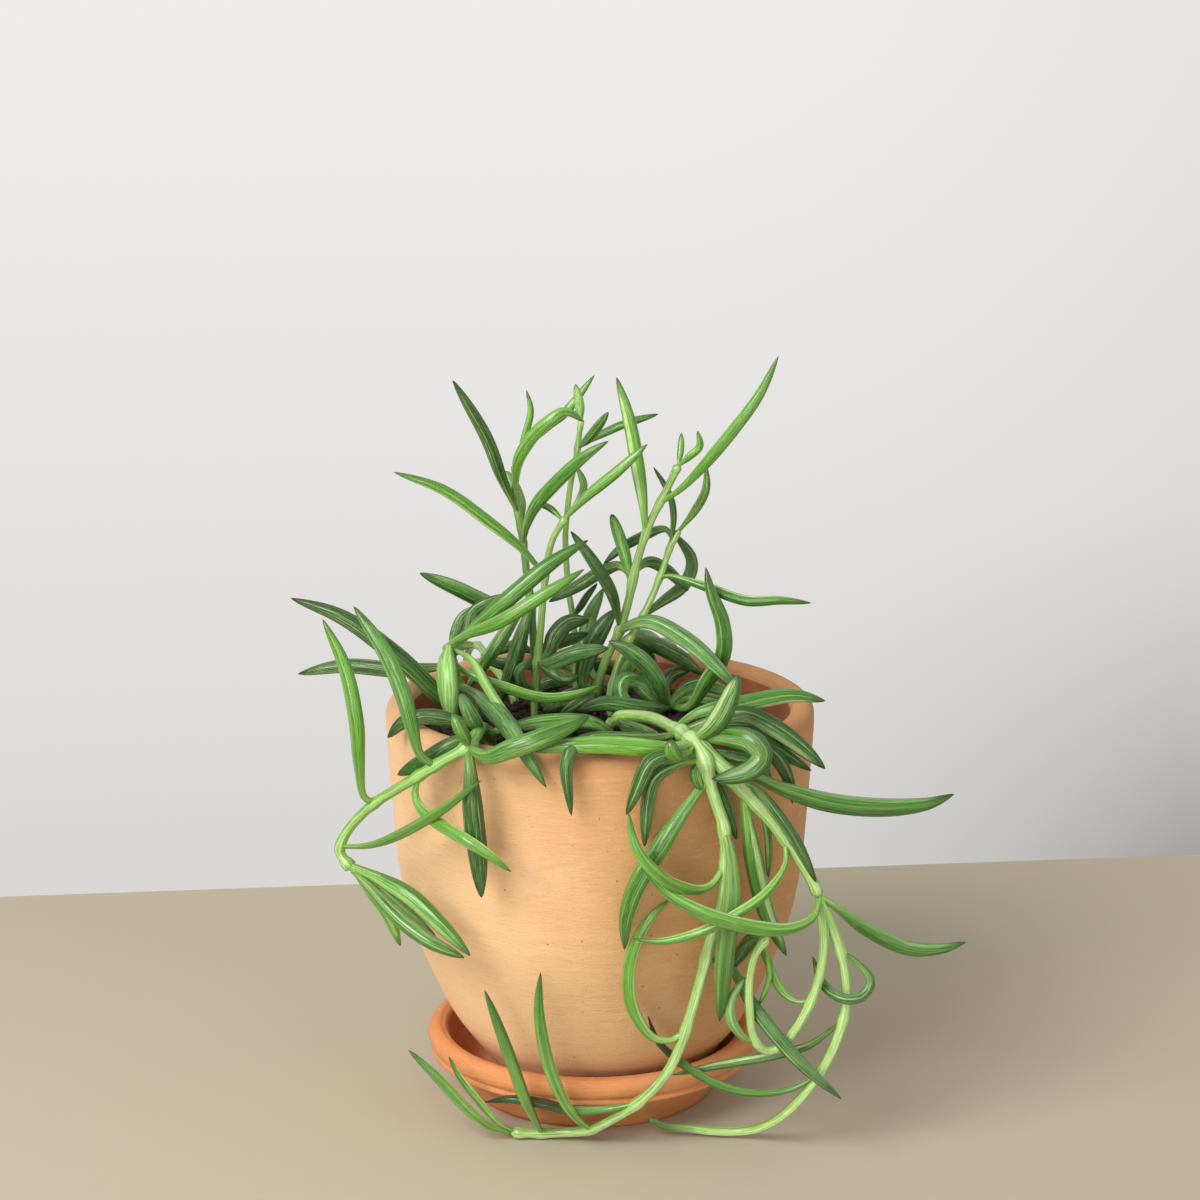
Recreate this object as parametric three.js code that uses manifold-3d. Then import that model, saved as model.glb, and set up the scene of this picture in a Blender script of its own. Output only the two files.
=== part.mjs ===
// A fish hooks senecio in a terracotta pot on a saucer: a trailing succulent whose stems stand
// up, lean over the rim and hang, with fleshy, curved, pointed leaves.
// Millimetres, +Z up. The origin is on the pot's axis, on the surface that the saucer stands on.
import * as THREE from 'three';
import { mergeVertices } from 'three/addons/utils/BufferGeometryUtils.js';
import Module from 'manifold-3d';

const wasm = await Module();
wasm.setup();

// Pot: outline of the outside as [radius, height], then the round lip and the walls.
const POT_OUTSIDE = [[28.6, 4.8], [35.6, 14], [44.1, 26], [50.8, 40], [56.2, 55], [59, 70],
  [60.3, 85], [61.3, 100], [62, 112]];
const POT_LIP_RADIUS = 3.5;
const POT_LIP_CENTRE = [58.5, 114.9];
const POT_INSIDE = [[55, 112], [54.2, 100], [52, 74], [44.5, 40], [30, 17], [24, 13]];
const POT_FLOOR = 11.5;
const DRAIN_RADIUS = 6;
const ROUND_SIDES = 36;

// Saucer: it sits a little to the left of the pot's axis, as the pot was set down in it.
const SAUCER_OFFSET = -2.2;
const SAUCER_FOOT = [[35.5, 0], [38.8, 5], [43.6, 9.6], [46.4, 11.2], [48.7, 13.2]];
const SAUCER_LIP_RADIUS = 3.1;
const SAUCER_LIP_CENTRE = [45.8, 16.6];
const SAUCER_INSIDE = [[41.6, 12.4], [36.5, 5.6], [33.5, 4.5]];
const SAUCER_FLOOR = 4.5;

// Soil: a low mound that fills the pot and reaches down into its drainage hole.
const GAP = 0.3;
const SOIL_GAP = 0.5;
const SOIL_TOP = 111.5;
const SOIL_EDGE = 107.5;
const ROOT_DEPTH = 6;
const ROOT_HOLE_GAP = 0.7;
const ROOT_STUB = 2;

// The plant's routes are lists of points chosen by hand, as [across, down, depth].
// Across and down are pixels of the 1200 x 1200 front view, and depth is in mm behind the pot's axis.
// The front view is taken from EYE_BACK in front of the axis and EYE_HEIGHT up, looking slightly down.
const EYE_BACK = 803.6;
const EYE_HEIGHT = 338.2;
const EYE_PITCH = 0.233;
const EYE_FOCAL = 2872.1;
const EYE_CENTRE = [600.5, 600];

const STEM_SIDES = 6;
const STEM_STEP = 9;
const LEAF_SIDES = 5;
const LEAF_STEP = 10;
const LEAF_STEPS_LEAST = 4;
const LEAF_STEPS_MOST = 7;
const LEAF_BASE_SHARE = 0.42;
const LEAF_FULL_FROM = 0.45;
const LEAF_TAPER_FROM = 0.5;
const FEW_SIDES_FACTOR = 1.12;

const TERRACOTTA_PALE = { color: 0xdfa56e, roughness: 0.86, metalness: 0 };
const TERRACOTTA_RED = { color: 0xc87a4b, roughness: 0.88, metalness: 0 };
const SOIL_BROWN = { color: 0x3d2b1f, roughness: 0.97, metalness: 0 };
const LEAF_GREEN = { color: 0x5f9146, roughness: 0.46, metalness: 0 };
const LEAF_DARK = { color: 0x44702f, roughness: 0.48, metalness: 0 };
const LEAF_PALE = { color: 0x86b45c, roughness: 0.44, metalness: 0 };

// Each leafy stem has a root [x, y] in the soil in mm, one or more runs of stem, each with its
// width in mm, and leaves, each as its width in mm and its points from the stem to the tip.
// A run after the first grows from the run before it that is nearest, and so does each leaf.
const LEAFY_STEMS = [
  {
    name: 'stem_left_tall',
    finish: LEAF_GREEN,
    root: [-16.5, 15],
    runs: [
      [2.6, [538, 690, 15], [534, 640, 14], [531, 600, 12], [527, 572, 11], [524, 545, 10],
        [520, 520, 9], [516, 500, 8], [516, 480, 6], [517, 463, 5]],
    ],
    leaves: [
      [4.0, [514, 517, 8], [502, 478, 3], [485, 435, -2], [453, 380, -6]],
      [2.2, [518, 466, 5], [524, 440, 3], [531, 412, 2], [527, 390, 2]],
      [1.5, [518, 468, 5], [526, 448, 8], [534, 429, 10]],
      [4.1, [515, 492, 7], [519, 462, 0], [532, 439, -4], [548, 423, -6], [566, 412, -6], [585, 422, -5]],
      [2.8, [518, 470, 5], [530, 444, 8], [548, 426, 10], [567, 411, 11], [595, 375, 12]],
      [4.3, [526, 542, 10], [528, 524, 5], [538, 504, 2], [560, 480, -2], [585, 457, -5], [609, 441, -7]],
      [4.0, [524, 526, 10], [519, 500, 14], [506, 471, 17]],
      [4.8, [532, 610, 12], [513, 609, 11], [487, 602, 8], [455, 587, 3], [420, 573, 0]],
      [4.4, [531, 598, 12], [515, 618, 9], [497, 645, 7], [481, 668, 7], [466, 691, 8]],
      [5.1, [531, 604, 12], [526, 620, 9], [518, 648, 8], [510, 675, 8], [500, 704, 9]],
      [3.7, [536, 668, 14], [520, 664, 15], [500, 663, 15], [481, 655, 14]],
    ],
  },
  {
    name: 'stem_left_front',
    finish: LEAF_PALE,
    root: [-19, 3],
    runs: [
      [2.4, [535, 698, 3], [538, 662, 2], [541, 631, 1], [544, 595, 0], [548, 560, 0],
        [553, 540, 0], [560, 527, 0], [568, 515, 0]],
    ],
    leaves: [
      [3.6, [546, 575, 0], [522, 549, -3], [490, 523, -5], [445, 491, -6], [394, 472, -7]],
      [3.3, [567, 517, 0], [590, 494, -3], [617, 472, -5], [648, 444, -6]],
      [2.4, [568, 516, 0], [580, 499, 2], [584, 484, 4], [577, 466, 4]],
      [2.0, [565, 520, 0], [550, 508, 5], [532, 501, 9]],
      [5.4, [539, 664, 2], [549, 652, 2], [556, 636, 3], [569, 623, 5], [590, 620, 6]],
      [5.4, [540, 664, 2], [553, 662, -3], [573, 654, -5], [592, 650, -5.5], [609, 648, -5.5]],
      [4.4, [538, 664, 2], [552, 670, -3], [566, 678, -5], [580, 676, -6]],
      [3.3, [536, 690, 3], [524, 684, -2], [520, 671, -4], [532, 660, -4]],
      [3.9, [540, 650, 2], [554, 644, 8], [571, 639, 10], [589, 633, 10]],
    ],
  },
  {
    name: 'stem_thin',
    finish: LEAF_PALE,
    root: [-7, 25],
    runs: [
      [2.1, [577, 660, 24], [573, 615, 23], [569, 590, 21], [566, 545, 17], [567, 520, 14],
        [571, 485, 11], [577, 455, 8], [582, 418, 6]],
    ],
    leaves: [
      [2.8, [582, 424, 6], [580, 405, 6], [576, 384, 6]],
      [3.1, [579, 450, 7], [590, 437, 3], [609, 412, 0]],
      [2.5, [580, 447, 7], [597, 437, 9], [625, 424, 10], [659, 414, 10]],
      [2.4, [573, 618, 23], [581, 606, 19], [588, 595, 17], [598, 583, 17]],
      [4.8, [577, 673, 24.6], [563, 662, 29], [545, 658, 33], [524, 666, 36]],
      [4.8, [577, 684, 25], [562, 681, 27], [544, 686, 28], [529, 700, 26]],
      [4.6, [577, 676, 24.8], [591, 666, 28], [606, 666, 31], [622, 677, 33]],
      [4.4, [577, 690, 25], [590, 687, 25], [606, 690, 25], [620, 701, 23]],
    ],
  },
  {
    name: 'stem_centre_tall',
    finish: LEAF_GREEN,
    root: [-4, 14],
    runs: [
      [2.8, [595, 693, 13], [607, 658, 11], [620, 631, 9], [629, 601, 7], [634, 576, 6],
        [641, 550, 5], [651, 522, 4], [667, 490, 3], [680, 463, 2]],
    ],
    leaves: [
      [4.2, [647, 533, 5], [643, 500, 2], [637, 460, 1], [629, 418, 0], [617, 377, 0]],
      [2.0, [679, 467, 2], [681, 452, 4], [682, 433, 6]],
      [2.5, [679, 468, 2], [690, 456, -1], [700, 446, -2], [698, 431, -3]],
      [3.8, [663, 503, 4], [683, 487, 0], [712, 456, -3], [745, 415, -5], [762, 390, -5], [779, 356, -5]],
      [3.6, [633, 584, 6], [624, 550, 8], [612, 514, 10]],
      [4.0, [622, 628, 9], [612, 594, 4], [594, 563, 3], [571, 531, 4]],
      [5.3, [621, 632, 9], [632, 625, 3], [655, 623, -1], [690, 643, -7], [719, 669, -12], [739, 691, -15]],
      [3.9, [633, 580, 6], [620, 566, 11], [600, 573, 13], [580, 585, 14], [549, 602, 14]],
      [3.7, [635, 571, 6], [649, 562, 12], [667, 570, 14.5], [689, 591, 15.5]],
      [6.2, [595, 692, 13], [584, 684, 14], [586, 662, 15], [599, 634, 16.5], [616, 609, 17]],
      [4.7, [599, 684, 12], [586, 658, 18], [589, 622, 24], [604, 588, 26]],
      [5.8, [595, 693, 13], [581, 695, 9], [564, 701, 4], [544, 711, -3]],
      [5.0, [594, 694, 13], [588, 699, 6], [577, 706, -2], [560, 716, -9]],
    ],
  },
  {
    name: 'stem_right_tall',
    finish: LEAF_GREEN,
    root: [3, 6],
    runs: [
      [2.4, [611, 692, 6], [621, 658, 7], [640, 622, 9], [652, 598, 10], [663, 570, 10],
        [671, 546, 10], [681, 528, 10]],
    ],
    leaves: [
      [2.8, [679, 531, 10], [695, 511, 9], [706, 490, 8], [707, 466, 8]],
      [2.1, [670, 550, 10], [674, 520, 9], [670, 495, 9], [654, 467, 9]],
      [3.4, [660, 578, 10], [672, 576, 8], [705, 586, 4], [745, 600, 1], [780, 600, -1], [812, 603, -2]],
      [4.0, [643, 616, 9], [662, 602, 15], [685, 584, 20], [692, 560, 21], [675, 533, 19]],
      [3.1, [675, 540, 10], [664, 529, 14], [640, 538, 17], [621, 549, 17], [604, 564, 16]],
      [5.0, [632, 638, 9], [654, 644, 15], [680, 657, 19], [704, 675, 21]],
      [4.8, [630, 642, 9], [642, 650, 15], [651, 664, 18], [653, 682, 19]],
      [5.2, [613, 684, 6], [622, 676, 11], [633, 659, 14.5], [641, 636, 16.5]],
    ],
  },
  {
    name: 'stem_low_right',
    finish: LEAF_DARK,
    root: [20, 12],
    runs: [
      [2.6, [670, 706, 11], [671, 699, 10]],
    ],
    leaves: [
      [5.2, [670, 708, 11], [690, 706, 6], [706, 682, 1], [723, 654, -2], [722, 622, -2], [711, 592, -2],
        [706, 567, -1]],
      [6.0, [668, 707, 11], [663, 697, 6], [657, 682, 3], [646, 666, 1], [629, 651, -1],
        [609, 641, -1]],
      [5.2, [668, 705, 11], [652, 696, 4], [637, 682, 1], [624, 682, -1.5], [623, 696, -3],
        [639, 711, -3.5]],
      [5.4, [668, 706, 11], [650, 709, -0.5], [634, 707, -4], [605, 703, -5.5], [577, 711, -7.5]],
      [5.0, [671, 703, 11], [685, 690, 15], [708, 686, 16], [736, 696, 15]],
      [4.3, [670, 700, 11], [664, 686, 16], [673, 674, 20], [692, 669, 22]],
      [4.8, [670, 706, 11], [688, 700, 14], [714, 701, 13], [743, 709, 11]],
    ],
  },
  {
    name: 'stem_front_trailing',
    finish: LEAF_PALE,
    root: [3, -7],
    runs: [
      [3.7, [614, 724, -8], [622, 717, -12.5], [637, 716, -18], [655, 719, -27], [675, 729, -40], [693, 741.5, -55],
        [704, 757, -60.8], [709, 779, -60], [716, 801, -60.5], [724, 826, -60.5], [726, 856, -60.5],
        [724, 886, -60.5], [720, 912, -60.5], [711, 940, -60], [703, 972, -59.5], [691, 1015, -59],
        [680, 1048, -58], [666, 1075, -57], [641, 1101, -54], [611, 1120, -50], [588, 1130, -46.5],
        [560, 1132.5, -43.7], [530, 1133, -43.5], [510, 1132.5, -43.5]],
      [4.2, [697, 748, -55], [721, 765, -59.5], [745, 791, -59], [770, 819, -59], [794, 850, -59],
        [812, 879, -60], [820, 898, -60.5]],
      [3.0, [820, 899, -60.5], [824, 926, -61], [824, 954, -61], [818, 984, -60.5], [805, 1015, -60],
        [785, 1043, -59.5], [767, 1051, -60], [754, 1036, -61], [750, 1008, -62], [750, 979, -62],
        [756, 954, -62.5], [769, 936, -63]],
      [3.1, [821, 900, -60.5], [834, 930, -60], [843, 959, -59], [847, 985, -58], [846, 1010, -57],
        [838, 1038, -57], [825, 1066, -57], [805, 1094, -55.5], [785, 1114, -52], [765, 1126, -47.5],
        [744, 1131, -43.8], [713, 1131, -42.6], [688, 1128, -42.2], [664, 1126, -42], [649, 1117, -43]],
    ],
    leaves: [
      [6.0, [695, 744, -54], [713, 726, -57], [727, 705, -57], [739, 675, -57]],
      [5.0, [675, 729, -40], [700, 713, -42], [745, 704, -42], [790, 696, -41], [826, 701, -39]],
      [5.8, [684, 736, -45], [712, 722, -45], [745, 716, -46], [775, 729, -48], [802, 748, -49], [826, 769, -50]],
      [4.4, [686, 738, -47], [715, 730, -48], [750, 731, -48], [778, 750, -48], [812, 771, -47]],
      [4.6, [688, 740, -49], [720, 736, -51], [752, 740, -52], [776, 757, -52], [789, 780, -52], [793, 804, -52]],
      [6.6, [696, 746, -52], [724, 737, -57], [750, 741, -62], [762, 756, -64], [752, 769, -65],
        [734, 776, -65], [712, 779, -65]],
      [3.5, [700, 752, -55], [732, 756, -56], [760, 764, -57], [772, 783, -57]],
      [5.5, [693, 744, -54], [678, 746, -59], [658, 747.5, -62.5], [630, 745.5, -63.5], [600, 744, -63.5],
        [562, 746, -63.5], [535, 752, -63.5]],
      [5.2, [694, 745, -55], [684, 750, -62.5], [674, 752, -69.5], [671, 740, -71]],
      [4.8, [700, 752, -57], [688, 757, -62], [666, 757, -65.5], [650, 764, -67.5], [638, 789, -68], [627, 815, -68]],
      [4.2, [704, 758, -60], [680, 764, -63], [656, 778, -64], [648, 808, -64], [645, 847, -63]],
      [3.4, [703, 762, -60], [696, 772, -61.5], [702, 791, -62]],
      [3.6, [704, 760, -60], [714, 770, -57.5], [725, 780, -57], [737, 790, -57]],
      [3.4, [706, 768, -59], [718, 785, -56.5], [729, 812, -57], [737, 840, -58]],
      [5.8, [709, 778, -60], [690, 804, -62.5], [665, 842, -65], [640, 882, -65.5], [628, 915, -64.5],
        [625, 950, -63]],
      [3.8, [724, 866, -60.5], [711, 885, -64], [691, 889, -69], [662, 877, -74], [637, 848, -74],
        [629, 813, -72]],
      [5.9, [724, 830, -60.5], [731, 856, -63.5], [732, 895, -64.5], [727, 935, -64.5], [723, 975, -63.5],
        [720, 1022, -62.5]],
      [3.9, [686, 1030, -58.5], [670, 1040, -59], [649, 1034, -60], [631, 1000, -61.5], [632, 958, -62.5],
        [648, 922, -62.5], [671, 898, -61]],
      [3.4, [511, 1132, -43.5], [489, 1126, -46], [466, 1107, -47], [436, 1075, -46], [409, 1050, -44]],
      [2.4, [516, 1132, -43.5], [498, 1122, -45], [477, 1098, -45], [460, 1076, -44], [449, 1056, -43]],
      [3.6, [541, 1132, -43.5], [534, 1117, -50], [525, 1098, -54], [510, 1056, -56], [496, 1018, -57],
        [485, 990, -57]],
      [4.0, [590, 1129, -47], [576, 1117, -53], [562, 1095, -56], [548, 1058, -58], [540, 1012, -60],
        [541, 972, -61]],
      [3.5, [638, 1103, -54], [620, 1107, -52.6], [598, 1110, -51.6], [570, 1110, -51.2],
        [542, 1103, -50.8], [512, 1099, -50], [485, 1102, -47]],
      [5.8, [730, 772, -58.8], [757, 777, -58], [785, 789, -58], [830, 802, -56], [880, 807, -53],
        [925, 804, -50], [955, 794, -48]],
      [3.6, [733, 778, -59], [757, 789, -61], [778, 815, -62.5], [798, 845, -63], [817, 883, -63]],
      [4.5, [819, 896, -60.5], [838, 908, -59], [866, 928, -55], [905, 947, -50], [938, 949, -47],
        [967, 942, -45]],
      [4.5, [819, 897, -60.5], [812, 918, -67], [785, 929, -72], [745, 925, -73.5], [705, 913, -73],
        [670, 894, -71.5], [642, 867, -71]],
      [3.2, [785, 840, -59], [785, 866, -63], [765, 894, -67], [735, 915, -69], [700, 932, -69],
        [664, 941, -68.5], [633, 939, -68]],
      [5.4, [744, 790, -59], [748, 822, -57], [756, 868, -55], [767, 912, -54], [787, 956, -54]],
      [2.2, [757, 803, -59], [768, 832, -55], [769, 878, -53]],
      [4.2, [766, 940, -63], [754, 939, -58], [741, 954, -56.5], [730, 970, -56.5]],
      [2.9, [842, 1018, -57], [830, 1031, -54.5], [808, 1046, -53], [770, 1056, -52], [725, 1064, -51],
        [672, 1075, -51]],
      [4.0, [706, 960, -59.8], [730, 965, -57], [749, 998, -57.5], [772, 1030, -62], [802, 1064, -64],
        [842, 1099, -65]],
      [3.2, [843, 951, -59], [857, 962, -60], [871, 980, -61.5], [862, 996, -62.5], [843, 998, -62.5],
        [824, 984, -57], [813, 956, -55.5]],
      [2.5, [812, 1000, -60.3], [796, 1001, -58.5], [781, 989, -57], [770, 965, -56.5], [758, 938, -57]],
      [1.8, [764, 943, -63], [769, 962, -59], [769, 982, -57.5], [758, 1008, -57.5]],
      [3.2, [757, 1042, -60.8], [745, 1038, -62], [732, 1020, -62.5], [732, 1000, -62], [746, 977, -61.5]],
      [3.0, [821, 1073, -57], [792, 1089, -56.5], [757, 1093, -55.8], [722, 1086, -54.6], [688, 1067, -54],
        [660, 1043, -54.5], [648, 1015, -55]],
      [4.3, [684, 736, -46], [655, 738, -51], [622, 739, -56], [592, 740, -60], [573, 749, -64.5],
        [567, 768, -66.5], [569, 790, -66.5], [572, 816, -65.5]],
      [4.6, [618, 718, -12], [627, 726, -22], [642, 731, -33], [662, 737, -43]],
    ],
  },
  {
    name: 'stem_left_trailing',
    finish: LEAF_GREEN,
    root: [-31, -20],
    runs: [
      [3.5, [484, 729, -32], [477, 735, -47], [470, 746, -56], [443, 761, -56], [419, 776, -53],
        [394, 791, -48], [374, 804, -44], [355, 822, -41], [343, 840, -40], [341, 854, -40], [354, 870, -42]],
    ],
    leaves: [
      [4.9, [434, 766, -55.5], [420, 754, -58], [412, 728, -59], [403, 695, -58], [385, 653, -54],
        [354, 606, -49]],
      [4.5, [376, 802, -44], [363, 794, -46], [359, 760, -48], [356, 720, -48], [345, 668, -46],
        [323, 619, -43]],
      [3.3, [342, 846, -40], [370, 845, -45], [400, 834, -52], [440, 811, -62], [482, 780, -67]],
      [3.9, [421, 775, -53], [416, 796, -52], [427, 814, -56], [464, 838, -66], [486, 852, -69],
        [512, 872, -70]],
      [5.8, [470, 746, -56], [471, 772, -61.5], [474, 815, -62.5], [478, 850, -62], [482, 898, -61]],
      [6.0, [470, 747, -56], [488, 756, -63.5], [512, 748, -66.8], [545, 736, -66.8], [590, 716, -60]],
      [5.0, [485, 733, -25], [507, 730, -22], [535, 724, -20], [578, 721.5, -18.5], [600, 726, -18.5], [618, 737, -18]],
      [4.8, [484, 729, -33], [458, 722, -34], [430, 717, -33], [405, 722, -33], [388, 738, -33]],
      [5.0, [476, 736, -48], [455, 742, -51.5], [428, 759, -50], [398, 775, -46]],
      [4.6, [482, 731, -37], [476, 722, -42], [468, 708, -45], [461, 693, -46]],
      [3.8, [470, 746, -56], [465, 736, -60], [459, 726, -61], [453, 713, -60]],
      [5.2, [350, 866, -41], [380, 879, -46], [412, 898, -52], [442, 926, -58], [471, 956, -62]],
      [4.8, [353, 870, -42], [380, 897, -46], [405, 922, -51], [432, 942, -56], [465, 958, -59]],
      [3.6, [352, 869, -42], [370, 890, -41], [388, 914, -42], [401, 946, -43]],
      [4.6, [352, 869, -42], [376, 887, -43], [404, 912, -47], [438, 940, -50]],
    ],
  },
  {
    name: 'stem_left_bent',
    finish: LEAF_PALE,
    root: [-37, 8],
    runs: [
      [2.9, [470, 704, 5], [461, 686, 0], [455, 668, -4], [451, 650, -7], [450, 644, -8]],
    ],
    leaves: [
      [5.0, [452, 648, -8], [470, 632, -13], [500, 606, -16], [540, 572, -16], [562, 556, -15],
        [589, 540, -14]],
      [4.3, [450, 644, -8], [468, 634, -15], [500, 621, -20], [540, 597, -21], [585, 569, -20]],
      [3.5, [453, 650, -7], [468, 630, -7], [476, 610, -6], [507, 594, -6]],
      [3.5, [451, 649, -7], [456, 633, -2], [464, 617, 0], [481, 606, 1]],
      [5.0, [450, 646, -8], [449, 664, -16], [451, 690, -20], [453, 729, -20]],
      [3.4, [451, 648, -7], [444, 658, -12], [443, 682, -14], [448, 717, -14.5]],
      [2.9, [453, 648, -8], [472, 660, -14], [487, 686, -22], [503, 710, -31], [524, 731, -38]],
      [3.5, [454, 661, -5], [468, 673, -11], [500, 685, -14], [540, 697, -14], [572, 695, -13],
        [602, 685, -12]],
      [5.8, [462, 687, 0], [480, 698, -14], [503, 720, -38], [516, 738, -56], [530, 761, -64],
        [547, 788, -65]],
      [5.6, [474, 712, 7], [460, 712, -6], [436, 692, -12], [398, 656, -13], [345, 618, -12], [291, 598, -9]],
      [4.7, [456, 670, -4], [440, 667, -1], [400, 670, 6], [345, 666, 12], [298, 674, 14]],
    ],
  },
  {
    name: 'stem_back_left',
    finish: LEAF_DARK,
    root: [-26, 27],
    runs: [
      [2.6, [490, 661, 40], [478, 645, 52], [468, 654, 60.5], [466, 690, 62.5], [470, 735, 61.5], [478, 775, 58]],
    ],
    leaves: [
      [4.1, [478, 648, 51], [462, 646, 57], [446, 660, 62], [436, 690, 64]],
      [3.9, [467, 676, 61], [488, 680, 66], [508, 700, 70], [516, 730, 71]],
      [4.1, [466, 700, 62], [452, 716, 65], [444, 744, 66], [450, 778, 64]],
      [3.8, [469, 726, 61], [488, 742, 66], [502, 768, 68], [504, 798, 66]],
      [3.8, [472, 746, 60], [462, 768, 64], [458, 796, 64], [466, 824, 61]],
      [3.4, [478, 774, 58], [484, 796, 61], [492, 822, 60], [506, 842, 56]],
      [3.7, [489, 662, 41], [500, 650, 44], [516, 646, 47], [534, 652, 49]],
    ],
  },
  {
    name: 'stem_back_right',
    finish: LEAF_DARK,
    root: [16, 32],
    runs: [
      [2.6, [652, 660, 42], [663, 642, 53], [674, 647, 62], [678, 680, 65.5], [676, 722, 65.5], [670, 762, 64],
        [662, 800, 62], [656, 832, 59]],
    ],
    leaves: [
      [4.1, [663, 643, 53], [648, 635, 58], [630, 640, 64], [612, 658, 69]],
      [4.0, [675, 660, 63], [692, 668, 67], [708, 690, 69], [714, 722, 67]],
      [4.1, [678, 690, 65], [662, 702, 71], [646, 728, 74], [640, 760, 73]],
      [3.9, [677, 716, 65], [694, 730, 68], [706, 758, 67], [706, 792, 64]],
      [3.8, [673, 745, 65], [660, 758, 71], [652, 786, 73], [656, 816, 70]],
      [3.8, [668, 774, 63], [684, 790, 66], [692, 820, 64], [688, 848, 60]],
      [3.6, [660, 806, 61], [646, 818, 66], [636, 842, 66], [636, 868, 62]],
      [3.2, [656, 830, 59], [660, 852, 59], [656, 876, 56], [644, 892, 53]],
    ],
  },
];

// A closed mesh of three.js as a solid: only shared positions are kept.
function solidOf(geometry) {
  const bare = geometry.clone();
  bare.deleteAttribute('normal');
  bare.deleteAttribute('uv');
  const merged = mergeVertices(bare, 1e-4);
  return new wasm.Manifold(new wasm.Mesh({
    numProp: 3,
    vertProperties: new Float32Array(merged.attributes.position.array),
    triVerts: new Uint32Array(merged.index.array),
  }));
}

function geometryOf(solid) {
  const { vertProperties, triVerts } = solid.getMesh();
  const geometry = new THREE.BufferGeometry();
  geometry.setAttribute('position', new THREE.BufferAttribute(vertProperties, 3));
  geometry.setIndex(new THREE.BufferAttribute(triVerts, 1));
  return geometry;
}

function meshOf(name, geometry, finish) {
  const mesh = new THREE.Mesh(geometry, new THREE.MeshStandardMaterial(finish));
  mesh.name = name;
  return mesh;
}

// A turned body about the vertical axis, from outline points given as [radius, height].
function turned(outline) {
  const points = outline.map(([radius, height]) => new THREE.Vector2(radius, height));
  return new THREE.LatheGeometry(points, ROUND_SIDES).rotateX(Math.PI / 2);
}

// The round crown of a lip, from its outer side over the top to its inner side.
function lipArc([radius, height], size, fromTurn, toTurn, steps) {
  return Array.from({ length: steps + 1 }, (_, i) => {
    const turn = THREE.MathUtils.lerp(fromTurn, toTurn, i / steps);
    return [radius + size * Math.cos(turn), height + size * Math.sin(turn)];
  });
}

function makePot() {
  const underside = POT_OUTSIDE[0][1];
  const outline = [
    [DRAIN_RADIUS, underside],
    ...POT_OUTSIDE,
    ...lipArc(POT_LIP_CENTRE, POT_LIP_RADIUS, 0, Math.PI, 5),
    ...POT_INSIDE,
    [DRAIN_RADIUS, POT_FLOOR],
    [DRAIN_RADIUS, underside],
  ];
  return turned(outline);
}

function makeSaucer() {
  const outline = [
    [0, 0],
    ...SAUCER_FOOT,
    ...lipArc(SAUCER_LIP_CENTRE, SAUCER_LIP_RADIUS, 0, Math.PI, 5),
    ...SAUCER_INSIDE,
    [0, SAUCER_FLOOR],
  ];
  return turned(outline).translate(SAUCER_OFFSET, 0, 0);
}

// The soil's height under its mounded top, by distance from the axis.
function soilHeight(radius) {
  const share = radius / POT_INSIDE[0][0];
  return THREE.MathUtils.lerp(SOIL_TOP, SOIL_EDGE, share * share);
}

function makeSoil(roots) {
  const walls = POT_INSIDE.slice(1).map(([radius, height]) => [radius - SOIL_GAP, height]).reverse();
  const edge = POT_INSIDE[1][0] - SOIL_GAP;
  const mound = [1, 0.7, 0.35, 0].map((share) => [edge * share, soilHeight(edge * share)]);
  const plugRadius = DRAIN_RADIUS - GAP;
  const outline = [
    [0, POT_OUTSIDE[0][1] + 2],
    [plugRadius, POT_OUTSIDE[0][1] + 2],
    [plugRadius, POT_FLOOR + GAP],
    [POT_INSIDE.at(-1)[0] - 2 * SOIL_GAP, POT_INSIDE.at(-1)[1] + GAP],
    ...walls.slice(1),
    ...mound,
  ];
  const holes = roots.map(({ root, width }) => {
    const depth = ROOT_DEPTH + ROOT_HOLE_GAP;
    const hole = new THREE.CylinderGeometry(width / 2 + ROOT_HOLE_GAP, width / 2 + ROOT_HOLE_GAP,
      2 * depth, STEM_SIDES + 2);
    hole.rotateX(Math.PI / 2).translate(root[0], root[1], soilHeight(Math.hypot(...root)));
    return solidOf(hole);
  });
  return geometryOf(holes.reduce((soil, hole) => soil.subtract(hole), solidOf(turned(outline))));
}

// The point at a place of the front view and a depth behind the pot's axis.
function seen([across, down, depth]) {
  const right = across - EYE_CENTRE[0];
  const up = EYE_CENTRE[1] - down;
  const away = EYE_FOCAL * Math.cos(EYE_PITCH) + up * Math.sin(EYE_PITCH);
  const rise = up * Math.cos(EYE_PITCH) - EYE_FOCAL * Math.sin(EYE_PITCH);
  const reach = (depth + EYE_BACK) / away;
  return new THREE.Vector3(right * reach, depth, EYE_HEIGHT + rise * reach);
}

function smoothRoute(points) {
  return new THREE.CatmullRomCurve3(points, false, 'catmullrom', 0.5);
}

// A closed round body along a route, with its radius given by the share of the way along.
function along(route, sides, steps, radiusAt) {
  const profile = [new THREE.Vector2(0, 0)];
  for (let i = 0; i <= steps; i += 1) {
    profile.push(new THREE.Vector2(radiusAt(i / steps), i));
  }
  profile.push(new THREE.Vector2(0, steps));
  const body = new THREE.LatheGeometry(profile, sides);
  const { normals, binormals } = route.computeFrenetFrames(steps, false);
  const place = body.attributes.position;
  for (let i = 0; i < place.count; i += 1) {
    const ring = Math.round(place.getY(i));
    const point = route.getPointAt(ring / steps)
      .addScaledVector(normals[ring], place.getZ(i))
      .addScaledVector(binormals[ring], place.getX(i));
    place.setXYZ(i, point.x, point.y, point.z);
  }
  return solidOf(body);
}

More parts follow.
